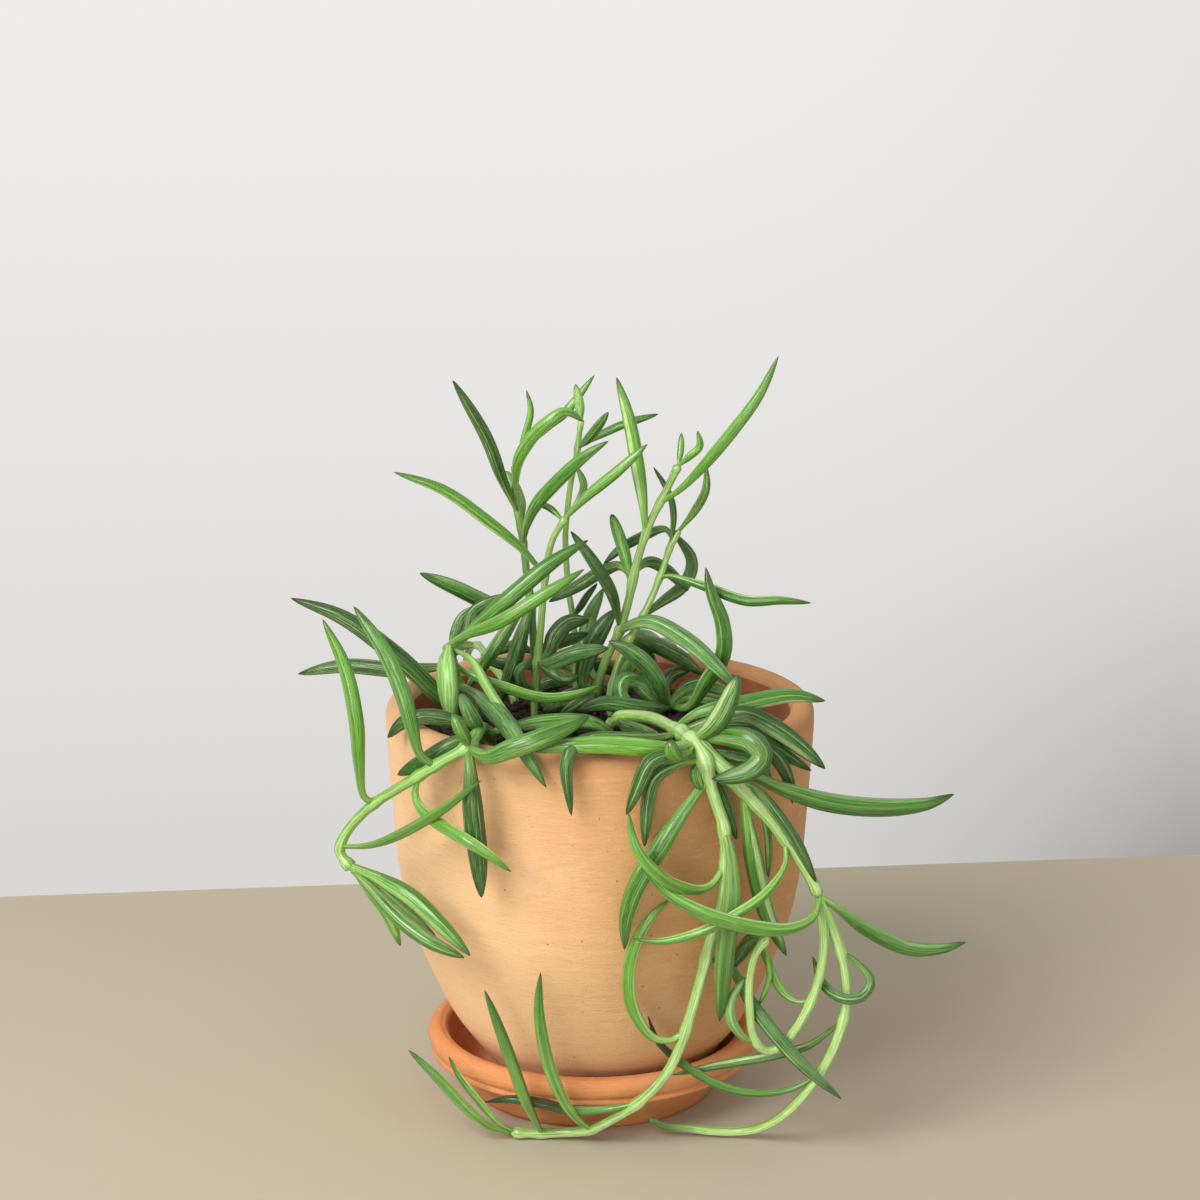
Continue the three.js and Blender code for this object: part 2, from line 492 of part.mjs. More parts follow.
// A leaf's width by the share of the way to its tip: a narrow foot, a full middle, a pointed end.
function leafShape(share) {
  const foot = THREE.MathUtils.smoothstep(share, 0, LEAF_FULL_FROM);
  const end = Math.max(0, (share - LEAF_TAPER_FROM) / (1 - LEAF_TAPER_FROM));
  return (LEAF_BASE_SHARE + (1 - LEAF_BASE_SHARE) * foot) * (1 - end ** 2.6) ** 0.7;
}

// The place nearest to a point on the straight pieces that the stem's runs are made of.
function nearestOn(chains, point) {
  const choices = chains.flatMap((chain) => chain.slice(1).map((end, i) => (
    new THREE.Line3(chain[i], end).closestPointToPoint(point, true, new THREE.Vector3()))));
  return choices.reduce((best, choice) => (
    choice.distanceTo(point) < best.distanceTo(point) ? choice : best));
}

function makeLeafyStem({ root, runs, leaves }) {
  const chains = [];
  const solids = [];
  runs.forEach(([width, ...points], i) => {
    const places = points.map(seen);
    if (i === 0) {
      const ground = soilHeight(Math.hypot(...root));
      places.unshift(new THREE.Vector3(...root, ground - ROOT_DEPTH), new THREE.Vector3(...root, ground + ROOT_STUB));
    } else {
      places[0] = nearestOn(chains, places[0]);
    }
    const route = smoothRoute(places);
    const steps = Math.ceil(route.getLength() / STEM_STEP);
    const radius = (width / 2) * FEW_SIDES_FACTOR;
    chains.push(route.getSpacedPoints(steps));
    solids.push(along(route, STEM_SIDES, steps, (share) => radius * (1 - 0.25 * share)));
  });
  leaves.forEach(([width, ...points]) => {
    const places = points.map(seen);
    places[0] = nearestOn(chains, places[0]);
    const route = smoothRoute(places);
    const steps = THREE.MathUtils.clamp(Math.ceil(route.getLength() / LEAF_STEP),
      LEAF_STEPS_LEAST, LEAF_STEPS_MOST);
    const radius = (width / 2) * FEW_SIDES_FACTOR;
    solids.push(along(route, LEAF_SIDES, steps, (share) => radius * leafShape(share)));
  });
  return geometryOf(solids.reduce((whole, piece) => whole.add(piece)));
}

const pottedSenecio = new THREE.Group();
const roots = LEAFY_STEMS.map(({ root, runs }) => ({ root, width: runs[0][0] }));
pottedSenecio.add(meshOf('saucer', makeSaucer(), TERRACOTTA_RED));
pottedSenecio.add(meshOf('pot', makePot(), TERRACOTTA_PALE));
pottedSenecio.add(meshOf('soil', makeSoil(roots), SOIL_BROWN));
for (const stem of LEAFY_STEMS) {
  pottedSenecio.add(meshOf(stem.name, makeLeafyStem(stem), stem.finish));
}

export default pottedSenecio;
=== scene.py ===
"""Dresses a potted fish hooks senecio: fine leafy stems, a fired clay pot, its saucer and potting soil.

Metres, +Z up. The origin is on the pot's axis, on the surface that the saucer stands on.
"""
import math
import random

import bpy
import numpy as np
from bpy.props import FloatProperty, FloatVectorProperty, IntProperty, PointerProperty
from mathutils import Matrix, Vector


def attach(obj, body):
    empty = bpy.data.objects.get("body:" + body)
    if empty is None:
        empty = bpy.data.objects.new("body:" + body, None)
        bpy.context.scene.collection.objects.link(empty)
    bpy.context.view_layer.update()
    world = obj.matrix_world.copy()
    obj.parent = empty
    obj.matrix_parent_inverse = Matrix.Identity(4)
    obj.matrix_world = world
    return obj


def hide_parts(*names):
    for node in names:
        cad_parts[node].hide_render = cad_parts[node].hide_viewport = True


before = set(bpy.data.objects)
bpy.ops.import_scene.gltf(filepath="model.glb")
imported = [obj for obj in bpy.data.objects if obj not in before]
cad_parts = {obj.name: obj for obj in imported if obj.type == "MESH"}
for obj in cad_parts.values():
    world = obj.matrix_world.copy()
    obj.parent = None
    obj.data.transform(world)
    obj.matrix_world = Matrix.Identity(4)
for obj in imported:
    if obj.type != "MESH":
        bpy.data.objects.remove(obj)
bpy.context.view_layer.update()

bl_info = {
    "name": "Potted fish hooks senecio",
    "version": (1, 0, 0),
    "blender": (4, 5, 0),
    "location": "3D view > Sidebar > Senecio",
    "description": "Models and finishes a trailing succulent in a clay pot on its saucer",
    "category": "Object",
}

MM = 0.001

# Pot and saucer: outlines as (radius, height) in mm, with a round lip between outside and inside.
POT_OUTSIDE = [(28.6, 4.8), (35.6, 14), (44.1, 26), (50.8, 40), (56.2, 55), (59, 70),
               (60.3, 85), (61.3, 100), (62, 112)]
POT_LIP_RADIUS = 3.5
POT_LIP_CENTRE = (58.5, 114.9)
POT_LIP_STEPS = 11
POT_INSIDE = [(55, 112), (54.2, 100), (52, 74), (44.5, 40), (30, 17), (24, 13)]
POT_FLOOR = 11.5
DRAIN_RADIUS = 6
# Inside the pot, faces up to this height in mm above the lip's centre take the damp clay that is partly
# painted shade.
DAMP_AND_SHADE_ABOVE_LIP_CENTRE = 0.5
SAUCER_OFFSET = -2.2
SAUCER_FOOT = [(35.5, 0), (38.8, 5), (43.6, 9.6)]
SAUCER_GROOVE = [(46.6, 11.3), (48.2, 12.5), (47.5, 13.7), (48.5, 14.7), (48.9, 16.2)]
SAUCER_LIP_RADIUS = 3.1
SAUCER_LIP_CENTRE = (45.8, 16.6)
SAUCER_LIP_STEPS = 19
SAUCER_INSIDE = [(41.6, 12.4), (36.5, 5.6), (33.5, 4.5)]
SAUCER_FLOOR = 4.5
SAUCER_FLOOR_RADII = (20, 8)

# The step of the saucer's lip that is pressed in as a crease.
SAUCER_CREASE = 12

# The ridges on the pot's wall are a wave up the wall, in radians a metre, that a slower one fades.
RIDGE_WAVE = 2100
RIDGE_FADE_WAVE = 730
RIDGE_FADE_START = 1.3

# Soil, in mm: the gap to the pot, the plug in the drainage hole, the mound and its even rim.
SOIL_GAP = 0.5
SOIL_RADIUS = POT_INSIDE[1][0] - SOIL_GAP
SOIL_TOP = 111.5
SOIL_EDGE = 107.5
SOIL_TOP_FROM = SOIL_EDGE - 1
SOIL_RIM = 1.5
SOIL_SIDES = 96
MOUND_RINGS = 44
PLUG_GAP = 0.3
PLUG_RISE = 2
LUMP_SIZE = 4

# Crumbs: sizes and lifts as shares of the largest crumb, and turns in radians. Most crumbs are small.
SMALLEST_CRUMB = 0.35
CRUMB_SIZE_POWER = 1.5
CRUMB_LIFT = 0.25
CRUMB_UNEVENNESS = 0.45
CRUMB_SHAPE = (1, 0.85, 0.75)
CRUMB_TIP = 1.5
CRUMB_SPIN = 6.3
CHIP_SIZE = 1.9
CHIP_SHAPE = (1, 0.45, 0.22)
CHIP_TIP = 0.5
FLECK_SIZE = 0.6
FLECK_SHAPE = (1, 0.9, 0.8)

# Where the random draws for the crumbs and for the plant start.
CRUMB_SEED = 11
PLANT_SEED = 5

# A stem's root under the soil, and the upright stub above it, in mm.
ROOT_DEPTH = 6
ROOT_STUB = 2

# The plant's routes are lists of points, as (across, down, depth).
# Across and down are pixels of the 1200 x 1200 front view, and depth is in mm behind the pot's axis.
# The front view is taken from EYE_BACK mm in front of the axis and EYE_HEIGHT mm up. It looks down by
# EYE_PITCH radians, and its focal length and its centre are in pixels. It is clipped in metres.
EYE_BACK = 803.6
EYE_HEIGHT = 338.2
EYE_PITCH = 0.233
EYE_FOCAL = 2872.1
EYE_CENTRE = (600.5, 600)
VIEW_PIXELS = 1200
SENSOR_MM = 36
CLIP_START = 0.01
CLIP_END = 50

# The table ends at a straight edge behind the pot, in metres, that is a little askew.
TABLE_SIZE = 8.0
TABLE_EDGE = (0.0, 0.188, 0.0)
TABLE_EDGE_FACES = (-0.1075, 0.9942, 0.0)

# Each light has its setting for the power, its place, the height that it aims at and its size, all
# in metres, and its colour.
LIGHTS = {
    "key_light": ("key_power", (-0.76, -0.905, 1.0), 0.08, 0.7, (1.0, 0.97, 0.93)),
    "fill_light": ("fill_power", (1.1, -0.9, 0.7), 0.08, 0.9, (1.0, 0.98, 0.97)),
    "low_light": ("low_power", (-0.3, -1.25, 0.2), 0.04, 0.5, (1.0, 0.97, 0.93)),
}

# Each leafy stem has a root (x, y) in the soil in mm, one or more runs of stem, each with its
# width in mm, and leaves, each as its width in mm, its look and its points from the stem to the tip.
# A run after the first grows from the nearest run before it, and a leaf from the nearest run.
LEAFY_STEMS = [
    {
        "name": "stem_left_tall",
        "slot": "leaf_green",
        "root": (-16.5, 15),
        "runs": [
            [2.6, (538, 690, 15), (534, 640, 14), (531, 600, 12), (527, 572, 11), (524, 545, 10),
                (520, 520, 9), (516, 500, 8), (516, 480, 6), (517, 463, 5)],
        ],
        "leaves": [
            [4, "dark", (514, 517, 8), (502, 478, 3), (485, 435, -2), (453, 380, -6)],
            [2.2, "bright", (518, 466, 5), (524, 440, 3), (531, 412, 2), (527, 390, 2)],
            [1.5, "pale", (518, 468, 5), (526, 448, 8), (534, 429, 10)],
            [4.1, "bright_striped_highlit", (515, 492, 7), (519, 462, 0), (532, 439, -4), (548, 423, -6),
                (566, 412, -6), (585, 422, -5)],
            [2.8, "bright", (518, 470, 5), (530, 444, 8), (548, 426, 10), (567, 411, 11),
                (595, 375, 12)],
            [4.3, "mid", (526, 542, 10), (528, 524, 5), (538, 504, 2), (560, 480, -2), (585, 457, -5),
                (609, 441, -7)],
            [4, "pale_blunt", (524, 526, 10), (519, 500, 14), (506, 471, 17)],
            [4.8, "deep", (532, 610, 12), (513, 609, 11), (487, 602, 8), (455, 587, 3), (420, 573, 0)],
            [4.4, "mid", (531, 598, 12), (515, 618, 9), (497, 645, 7), (481, 668, 7), (466, 691, 8)],
            [5.1, "dark", (531, 604, 12), (526, 620, 9), (518, 648, 8), (510, 675, 8), (500, 704, 9)],
            [3.7, "dark", (536, 668, 14), (520, 664, 15), (500, 663, 15), (481, 655, 14)],
        ],
    },
    {
        "name": "stem_left_front",
        "slot": "leaf_pale",
        "root": (-19, 3),
        "runs": [
            [2.4, (535, 698, 3), (538, 662, 2), (541, 631, 1), (544, 595, 0), (548, 560, 0),
                (553, 540, 0), (560, 527, 0), (568, 515, 0)],
        ],
        "leaves": [
            [3.6, "bright_striped_highlit", (546, 575, 0), (522, 549, -3), (490, 523, -5), (445, 491, -6),
                (394, 472, -7)],
            [3.3, "bright", (567, 517, 0), (590, 494, -3), (617, 472, -5), (648, 444, -6)],
            [2.4, "bright", (568, 516, 0), (580, 499, 2), (584, 484, 4), (577, 466, 4)],
            [2, "mid", (565, 520, 0), (550, 508, 5), (532, 501, 9)],
            [5.4, "dark", (539, 664, 2), (549, 652, 2), (556, 636, 3), (569, 623, 5), (590, 620, 6)],
            [5.4, "blue", (540, 664, 2), (553, 662, -3), (573, 654, -5), (592, 650, -5.5),
                (609, 648, -5.5)],
            [4.4, "dark", (538, 664, 2), (552, 670, -3), (566, 678, -5), (580, 676, -6)],
            [3.3, "dark", (536, 690, 3), (524, 684, -2), (520, 671, -4), (532, 660, -4)],
            [3.9, "dark", (540, 650, 2), (554, 644, 8), (571, 639, 10), (589, 633, 10)],
        ],
    },
    {
        "name": "stem_thin",
        "slot": "leaf_pale",
        "root": (-7, 25),
        "runs": [
            [2.1, (577, 660, 24), (573, 615, 23), (569, 590, 21), (566, 545, 17), (567, 520, 14),
                (571, 485, 11), (577, 455, 8), (582, 418, 6)],
        ],
        "leaves": [
            [2.8, "pale", (582, 424, 6), (580, 405, 6), (576, 384, 6)],
            [3.1, "mid", (579, 450, 7), (590, 437, 3), (609, 412, 0)],
            [2.5, "mid", (580, 447, 7), (597, 437, 9), (625, 424, 10), (659, 414, 10)],
            [2.4, "dark", (573, 618, 23), (581, 606, 19), (588, 595, 17), (598, 583, 17)],
            [4.8, "dark", (577, 673, 24.6), (563, 662, 29), (545, 658, 33), (524, 666, 36)],
            [4.8, "dark", (577, 684, 25), (562, 681, 27), (544, 686, 28), (529, 700, 26)],
            [4.6, "dark", (577, 676, 24.8), (591, 666, 28), (606, 666, 31), (622, 677, 33)],
            [4.4, "dark", (577, 690, 25), (590, 687, 25), (606, 690, 25), (620, 701, 23)],
        ],
    },
    {
        "name": "stem_centre_tall",
        "slot": "leaf_green",
        "root": (-4, 14),
        "runs": [
            [2.8, (595, 693, 13), (607, 658, 11), (620, 631, 9), (629, 601, 7), (634, 576, 6),
                (641, 550, 5), (651, 522, 4), (667, 490, 3), (680, 463, 2)],
        ],
        "leaves": [
            [4.2, "bright_striped_highlit", (647, 533, 5), (643, 500, 2), (637, 460, 1), (629, 418, 0),
                (617, 377, 0)],
            [2, "bright", (679, 467, 2), (681, 452, 4), (682, 433, 6)],
            [2.5, "bright", (679, 468, 2), (690, 456, -1), (700, 446, -2), (698, 431, -3)],
            [3.8, "bright_striped_highlit", (663, 503, 4), (683, 487, 0), (712, 456, -3), (745, 415, -5),
                (762, 390, -5), (779, 356, -5)],
            [3.6, "browned_blunt", (633, 584, 6), (624, 550, 8), (612, 514, 10)],
            [4, "dark", (622, 628, 9), (612, 594, 4), (594, 563, 3), (571, 531, 4)],
            [5.3, "blue_striped_highlit", (621, 632, 9), (632, 625, 3), (655, 623, -1), (690, 643, -7),
                (719, 669, -12), (739, 691, -15)],
            [3.9, "dark", (633, 580, 6), (620, 566, 11), (600, 573, 13), (580, 585, 14),
                (549, 602, 14)],
            [3.7, "dark", (635, 571, 6), (649, 562, 12), (667, 570, 14.5), (689, 591, 15.5)],
            [6.2, "dark", (595, 692, 13), (584, 684, 14), (586, 662, 15), (599, 634, 16.5),
                (616, 609, 17)],
            [4.7, "mid", (599, 684, 12), (586, 658, 18), (589, 622, 24), (604, 588, 26)],
            [5.8, "dark", (595, 693, 13), (581, 695, 9), (564, 701, 4), (544, 711, -3)],
            [5, "dark", (594, 694, 13), (588, 699, 6), (577, 706, -2), (560, 716, -9)],
        ],
    },
    {
        "name": "stem_right_tall",
        "slot": "leaf_green",
        "root": (3, 6),
        "runs": [
            [2.4, (611, 692, 6), (621, 658, 7), (640, 622, 9), (652, 598, 10), (663, 570, 10),
                (671, 546, 10), (681, 528, 10)],
        ],
        "leaves": [
            [2.8, "bright", (679, 531, 10), (695, 511, 9), (706, 490, 8), (707, 466, 8)],
            [2.1, "deep", (670, 550, 10), (674, 520, 9), (670, 495, 9), (654, 467, 9)],
            [3.4, "mid_striped_highlit", (660, 578, 10), (672, 576, 8), (705, 586, 4), (745, 600, 1),
                (780, 600, -1), (812, 603, -2)],
            [4, "blue", (643, 616, 9), (662, 602, 15), (685, 584, 20), (692, 560, 21), (675, 533, 19)],
            [3.1, "dark", (675, 540, 10), (664, 529, 14), (640, 538, 17), (621, 549, 17),
                (604, 564, 16)],
            [5, "dark", (632, 638, 9), (654, 644, 15), (680, 657, 19), (704, 675, 21)],
            [4.8, "dark", (630, 642, 9), (642, 650, 15), (651, 664, 18), (653, 682, 19)],
            [5.2, "mid", (613, 684, 6), (622, 676, 11), (633, 659, 14.5), (641, 636, 16.5)],
        ],
    },
    {
        "name": "stem_low_right",
        "slot": "leaf_dark",
        "root": (20, 12),
        "runs": [
            [2.6, (670, 706, 11), (671, 699, 10)],
        ],
        "leaves": [
            [5.2, "mid_striped_highlit", (670, 708, 11), (690, 706, 6), (706, 682, 1), (723, 654, -2),
                (722, 622, -2), (711, 592, -2), (706, 567, -1)],
            [6, "blue", (668, 707, 11), (663, 697, 6), (657, 682, 3), (646, 666, 1), (629, 651, -1),
                (609, 641, -1)],
            [5.2, "blue", (668, 705, 11), (652, 696, 4), (637, 682, 1), (624, 682, -1.5),
                (623, 696, -3), (639, 711, -3.5)],
            [5.4, "blue", (668, 706, 11), (650, 709, -0.5), (634, 707, -4), (605, 703, -5.5),
                (577, 711, -7.5)],
            [5, "dark", (671, 703, 11), (685, 690, 15), (708, 686, 16), (736, 696, 15)],
            [4.3, "dark", (670, 700, 11), (664, 686, 16), (673, 674, 20), (692, 669, 22)],
            [4.8, "dark", (670, 706, 11), (688, 700, 14), (714, 701, 13), (743, 709, 11)],
        ],
    },
    {
        "name": "stem_front_trailing",
        "slot": "leaf_pale",
        "root": (3, -7),
        "runs": [
            [3.7, (614, 724, -8), (622, 717, -12.5), (637, 716, -18), (655, 719, -27), (675, 729, -40),
                (693, 741.5, -55), (704, 757, -60.8), (709, 779, -60), (716, 801, -60.5),
                (724, 826, -60.5), (726, 856, -60.5), (724, 886, -60.5), (720, 912, -60.5),
                (711, 940, -60), (703, 972, -59.5), (691, 1015, -59), (680, 1048, -58),
                (666, 1075, -57), (641, 1101, -54), (611, 1120, -50), (588, 1130, -46.5),
                (560, 1132.5, -43.7), (530, 1133, -43.5), (510, 1132.5, -43.5)],
            [4.2, (697, 748, -55), (721, 765, -59.5), (745, 791, -59), (770, 819, -59), (794, 850, -59),
                (812, 879, -60), (820, 898, -60.5)],
            [3, (820, 899, -60.5), (824, 926, -61), (824, 954, -61), (818, 984, -60.5),
                (805, 1015, -60), (785, 1043, -59.5), (767, 1051, -60), (754, 1036, -61),
                (750, 1008, -62), (750, 979, -62), (756, 954, -62.5), (769, 936, -63)],
            [3.1, (821, 900, -60.5), (834, 930, -60), (843, 959, -59), (847, 985, -58),
                (846, 1010, -57), (838, 1038, -57), (825, 1066, -57), (805, 1094, -55.5),
                (785, 1114, -52), (765, 1126, -47.5), (744, 1131, -43.8), (713, 1131, -42.6),
                (688, 1128, -42.2), (664, 1126, -42), (649, 1117, -43)],
        ],
        "leaves": [
            [6, "mid_striped_highlit", (695, 744, -54), (713, 726, -57), (727, 705, -57), (739, 675, -57)],
            [5, "mid_striped_highlit", (675, 729, -40), (700, 713, -42), (745, 704, -42), (790, 696, -41),
                (826, 701, -39)],
            [5.8, "dark_striped_highlit", (684, 736, -45), (712, 722, -45), (745, 716, -46), (775, 729, -48),
                (802, 748, -49), (826, 769, -50)],
            [4.4, "dark", (686, 738, -47), (715, 730, -48), (750, 731, -48), (778, 750, -48),
                (812, 771, -47)],
            [4.6, "dark", (688, 740, -49), (720, 736, -51), (752, 740, -52), (776, 757, -52),
                (789, 780, -52), (793, 804, -52)],
            [6.6, "deep", (696, 746, -52), (724, 737, -57), (750, 741, -62), (762, 756, -64),
                (752, 769, -65), (734, 776, -65), (712, 779, -65)],
            [3.5, "dark", (700, 752, -55), (732, 756, -56), (760, 764, -57), (772, 783, -57)],
            [5.5, "bright_striped_highlit", (693, 744, -54), (678, 746, -59), (658, 747.5, -62.5),
                (630, 745.5, -63.5), (600, 744, -63.5), (562, 746, -63.5), (535, 752, -63.5)],
            [5.2, "bright_blunt", (694, 745, -55), (684, 750, -62.5), (674, 752, -69.5),
                (671, 740, -71)],
            [4.8, "dark", (700, 752, -57), (688, 757, -62), (666, 757, -65.5), (650, 764, -67.5),
                (638, 789, -68), (627, 815, -68)],
            [4.2, "dark", (704, 758, -60), (680, 764, -63), (656, 778, -64), (648, 808, -64),
                (645, 847, -63)],
            [3.4, "deep", (703, 762, -60), (696, 772, -61.5), (702, 791, -62)],
            [3.6, "deep", (704, 760, -60), (714, 770, -57.5), (725, 780, -57), (737, 790, -57)],
            [3.4, "dark", (706, 768, -59), (718, 785, -56.5), (729, 812, -57), (737, 840, -58)],
            [5.8, "mid_striped_highlit", (709, 778, -60), (690, 804, -62.5), (665, 842, -65), (640, 882, -65.5),
                (628, 915, -64.5), (625, 950, -63)],
            [3.8, "bright_striped_highlit", (724, 866, -60.5), (711, 885, -64), (691, 889, -69),
                (662, 877, -74), (637, 848, -74), (629, 813, -72)],
            [5.9, "long_footed", (724, 830, -60.5), (731, 856, -63.5), (732, 895, -64.5),
                (727, 935, -64.5), (723, 975, -63.5), (720, 1022, -62.5)],
            [3.9, "bright_striped_highlit", (686, 1030, -58.5), (670, 1040, -59), (649, 1034, -60),
                (631, 1000, -61.5), (632, 958, -62.5), (648, 922, -62.5), (671, 898, -61)],
            [3.4, "long_footed", (511, 1132, -43.5), (489, 1126, -46), (466, 1107, -47),
                (436, 1075, -46), (409, 1050, -44)],
            [2.4, "long_footed", (516, 1132, -43.5), (498, 1122, -45), (477, 1098, -45),
                (460, 1076, -44), (449, 1056, -43)],
            [3.6, "long_footed", (541, 1132, -43.5), (534, 1117, -50), (525, 1098, -54),
                (510, 1056, -56), (496, 1018, -57), (485, 990, -57)],
            [4, "long_footed", (590, 1129, -47), (576, 1117, -53), (562, 1095, -56), (548, 1058, -58),
                (540, 1012, -60), (541, 972, -61)],
            [3.5, "half_withered", (638, 1103, -54), (620, 1107, -52.6), (598, 1110, -51.6),
                (570, 1110, -51.2), (542, 1103, -50.8), (512, 1099, -50), (485, 1102, -47)],
            [5.8, "deep", (730, 772, -58.8), (757, 777, -58), (785, 789, -58), (830, 802, -56),
                (880, 807, -53), (925, 804, -50), (955, 794, -48)],
            [3.6, "dark", (733, 778, -59), (757, 789, -61), (778, 815, -62.5), (798, 845, -63),
                (817, 883, -63)],
            [4.5, "deep", (819, 896, -60.5), (838, 908, -59), (866, 928, -55), (905, 947, -50),
                (938, 949, -47), (967, 942, -45)],
            [4.5, "bright_striped_highlit", (819, 897, -60.5), (812, 918, -67), (785, 929, -72),
                (745, 925, -73.5), (705, 913, -73), (670, 894, -71.5), (642, 867, -71)],
            [3.2, "bright_striped_highlit", (785, 840, -59), (785, 866, -63), (765, 894, -67), (735, 915, -69),
                (700, 932, -69), (664, 941, -68.5), (633, 939, -68)],
            [5.4, "mid_striped_highlit", (744, 790, -59), (748, 822, -57), (756, 868, -55), (767, 912, -54),
                (787, 956, -54)],
            [2.2, "deep", (757, 803, -59), (768, 832, -55), (769, 878, -53)],
            [4.2, "dark", (766, 940, -63), (754, 939, -58), (741, 954, -56.5), (730, 970, -56.5)],
            [2.9, "mid_striped_highlit", (842, 1018, -57), (830, 1031, -54.5), (808, 1046, -53),
                (770, 1056, -52), (725, 1064, -51), (672, 1075, -51)],
            [4, "blue", (706, 960, -59.8), (730, 965, -57), (749, 998, -57.5), (772, 1030, -62),
                (802, 1064, -64), (842, 1099, -65)],
            [3.2, "blue", (843, 951, -59), (857, 962, -60), (871, 980, -61.5), (862, 996, -62.5),
                (843, 998, -62.5), (824, 984, -57), (813, 956, -55.5)],
            [2.5, "bright", (812, 1000, -60.3), (796, 1001, -58.5), (781, 989, -57), (770, 965, -56.5),
                (758, 938, -57)],
            [1.8, "bright", (764, 943, -63), (769, 962, -59), (769, 982, -57.5), (758, 1008, -57.5)],
            [3.2, "pale", (757, 1042, -60.8), (745, 1038, -62), (732, 1020, -62.5), (732, 1000, -62),
                (746, 977, -61.5)],
            [3, "dry_tip", (821, 1073, -57), (792, 1089, -56.5), (757, 1093, -55.8), (722, 1086, -54.6),
                (688, 1067, -54), (660, 1043, -54.5), (648, 1015, -55)],
            [4.3, "dark", (684, 736, -46), (655, 738, -51), (622, 739, -56), (592, 740, -60),
                (573, 749, -64.5), (567, 768, -66.5), (569, 790, -66.5), (572, 816, -65.5)],
            [4.6, "dark", (618, 718, -12), (627, 726, -22), (642, 731, -33), (662, 737, -43)],
        ],
    },
    {
        "name": "stem_left_trailing",
        "slot": "leaf_green",
        "root": (-31, -20),
        "runs": [
            [3.5, (484, 729, -32), (477, 735, -47), (470, 746, -56), (443, 761, -56), (419, 776, -53),
                (394, 791, -48), (374, 804, -44), (355, 822, -41), (343, 840, -40), (341, 854, -40),
                (354, 870, -42)],
        ],
        "leaves": [
            [4.9, "mid", (434, 766, -55.5), (420, 754, -58), (412, 728, -59), (403, 695, -58),
                (385, 653, -54), (354, 606, -49)],
            [4.5, "browned_tip", (376, 802, -44), (363, 794, -46), (359, 760, -48), (356, 720, -48),
                (345, 668, -46), (323, 619, -43)],
            [3.3, "bright", (342, 846, -40), (370, 845, -45), (400, 834, -52), (440, 811, -62),
                (482, 780, -67)],
            [3.9, "bright_striped_highlit", (421, 775, -53), (416, 796, -52), (427, 814, -56), (464, 838, -66),
                (486, 852, -69), (512, 872, -70)],
            [5.8, "dark", (470, 746, -56), (471, 772, -61.5), (474, 815, -62.5), (478, 850, -62),
                (482, 898, -61)],
            [6, "mid_striped_highlit", (470, 747, -56), (488, 756, -63.5), (512, 748, -66.8), (545, 736, -66.8),
                (590, 716, -60)],
            [5, "mid", (485, 733, -25), (507, 730, -22), (535, 724, -20), (578, 721.5, -18.5),
                (600, 726, -18.5), (618, 737, -18)],
            [4.8, "dark", (484, 729, -33), (458, 722, -34), (430, 717, -33), (405, 722, -33),
                (388, 738, -33)],
            [5, "dark", (476, 736, -48), (455, 742, -51.5), (428, 759, -50), (398, 775, -46)],
            [4.6, "blue", (482, 731, -37), (476, 722, -42), (468, 708, -45), (461, 693, -46)],
            [3.8, "mid", (470, 746, -56), (465, 736, -60), (459, 726, -61), (453, 713, -60)],
            [5.2, "mid", (350, 866, -41), (380, 879, -46), (412, 898, -52), (442, 926, -58),
                (471, 956, -62)],
            [4.8, "mid", (353, 870, -42), (380, 897, -46), (405, 922, -51), (432, 942, -56),
                (465, 958, -59)],
            [3.6, "bright", (352, 869, -42), (370, 890, -41), (388, 914, -42), (401, 946, -43)],
            [4.6, "mid", (352, 869, -42), (376, 887, -43), (404, 912, -47), (438, 940, -50)],
        ],
    },
    {
        "name": "stem_left_bent",
        "slot": "leaf_pale",
        "root": (-37, 8),
        "runs": [
            [2.9, (470, 704, 5), (461, 686, 0), (455, 668, -4), (451, 650, -7), (450, 644, -8)],
        ],
        "leaves": [
            [5, "mid", (452, 648, -8), (470, 632, -13), (500, 606, -16), (540, 572, -16),
                (562, 556, -15), (589, 540, -14)],
            [4.3, "bright_striped_highlit", (450, 644, -8), (468, 634, -15), (500, 621, -20), (540, 597, -21),
                (585, 569, -20)],
            [3.5, "dark", (453, 650, -7), (468, 630, -7), (476, 610, -6), (507, 594, -6)],
            [3.5, "dark", (451, 649, -7), (456, 633, -2), (464, 617, 0), (481, 606, 1)],
            [5, "pale", (450, 646, -8), (449, 664, -16), (451, 690, -20), (453, 729, -20)],
            [3.4, "pale", (451, 648, -7), (444, 658, -12), (443, 682, -14), (448, 717, -14.5)],
            [2.9, "pale", (453, 648, -8), (472, 660, -14), (487, 686, -22), (503, 710, -31),
                (524, 731, -38)],
            [3.5, "bright_striped_highlit", (454, 661, -5), (468, 673, -11), (500, 685, -14), (540, 697, -14),
                (572, 695, -13), (602, 685, -12)],
            [5.8, "blue", (462, 687, 0), (480, 698, -14), (503, 720, -38), (516, 738, -56),
                (530, 761, -64), (547, 788, -65)],
            [5.6, "dark", (474, 712, 7), (460, 712, -6), (436, 692, -12), (398, 656, -13),
                (345, 618, -12), (291, 598, -9)],
            [4.7, "dark", (456, 670, -4), (440, 667, -1), (400, 670, 6), (345, 666, 12),
                (298, 674, 14)],
        ],
    },
    {
        "name": "stem_back_left",
        "slot": "leaf_dark",
        "root": (-26, 27),
        "runs": [
            [2.6, (490, 661, 40), (478, 645, 52), (468, 654, 60.5), (466, 690, 62.5), (470, 735, 61.5),
                (478, 775, 58)],
        ],
        "leaves": [
            [4.1, "dark", (478, 648, 51), (462, 646, 57), (446, 660, 62), (436, 690, 64)],
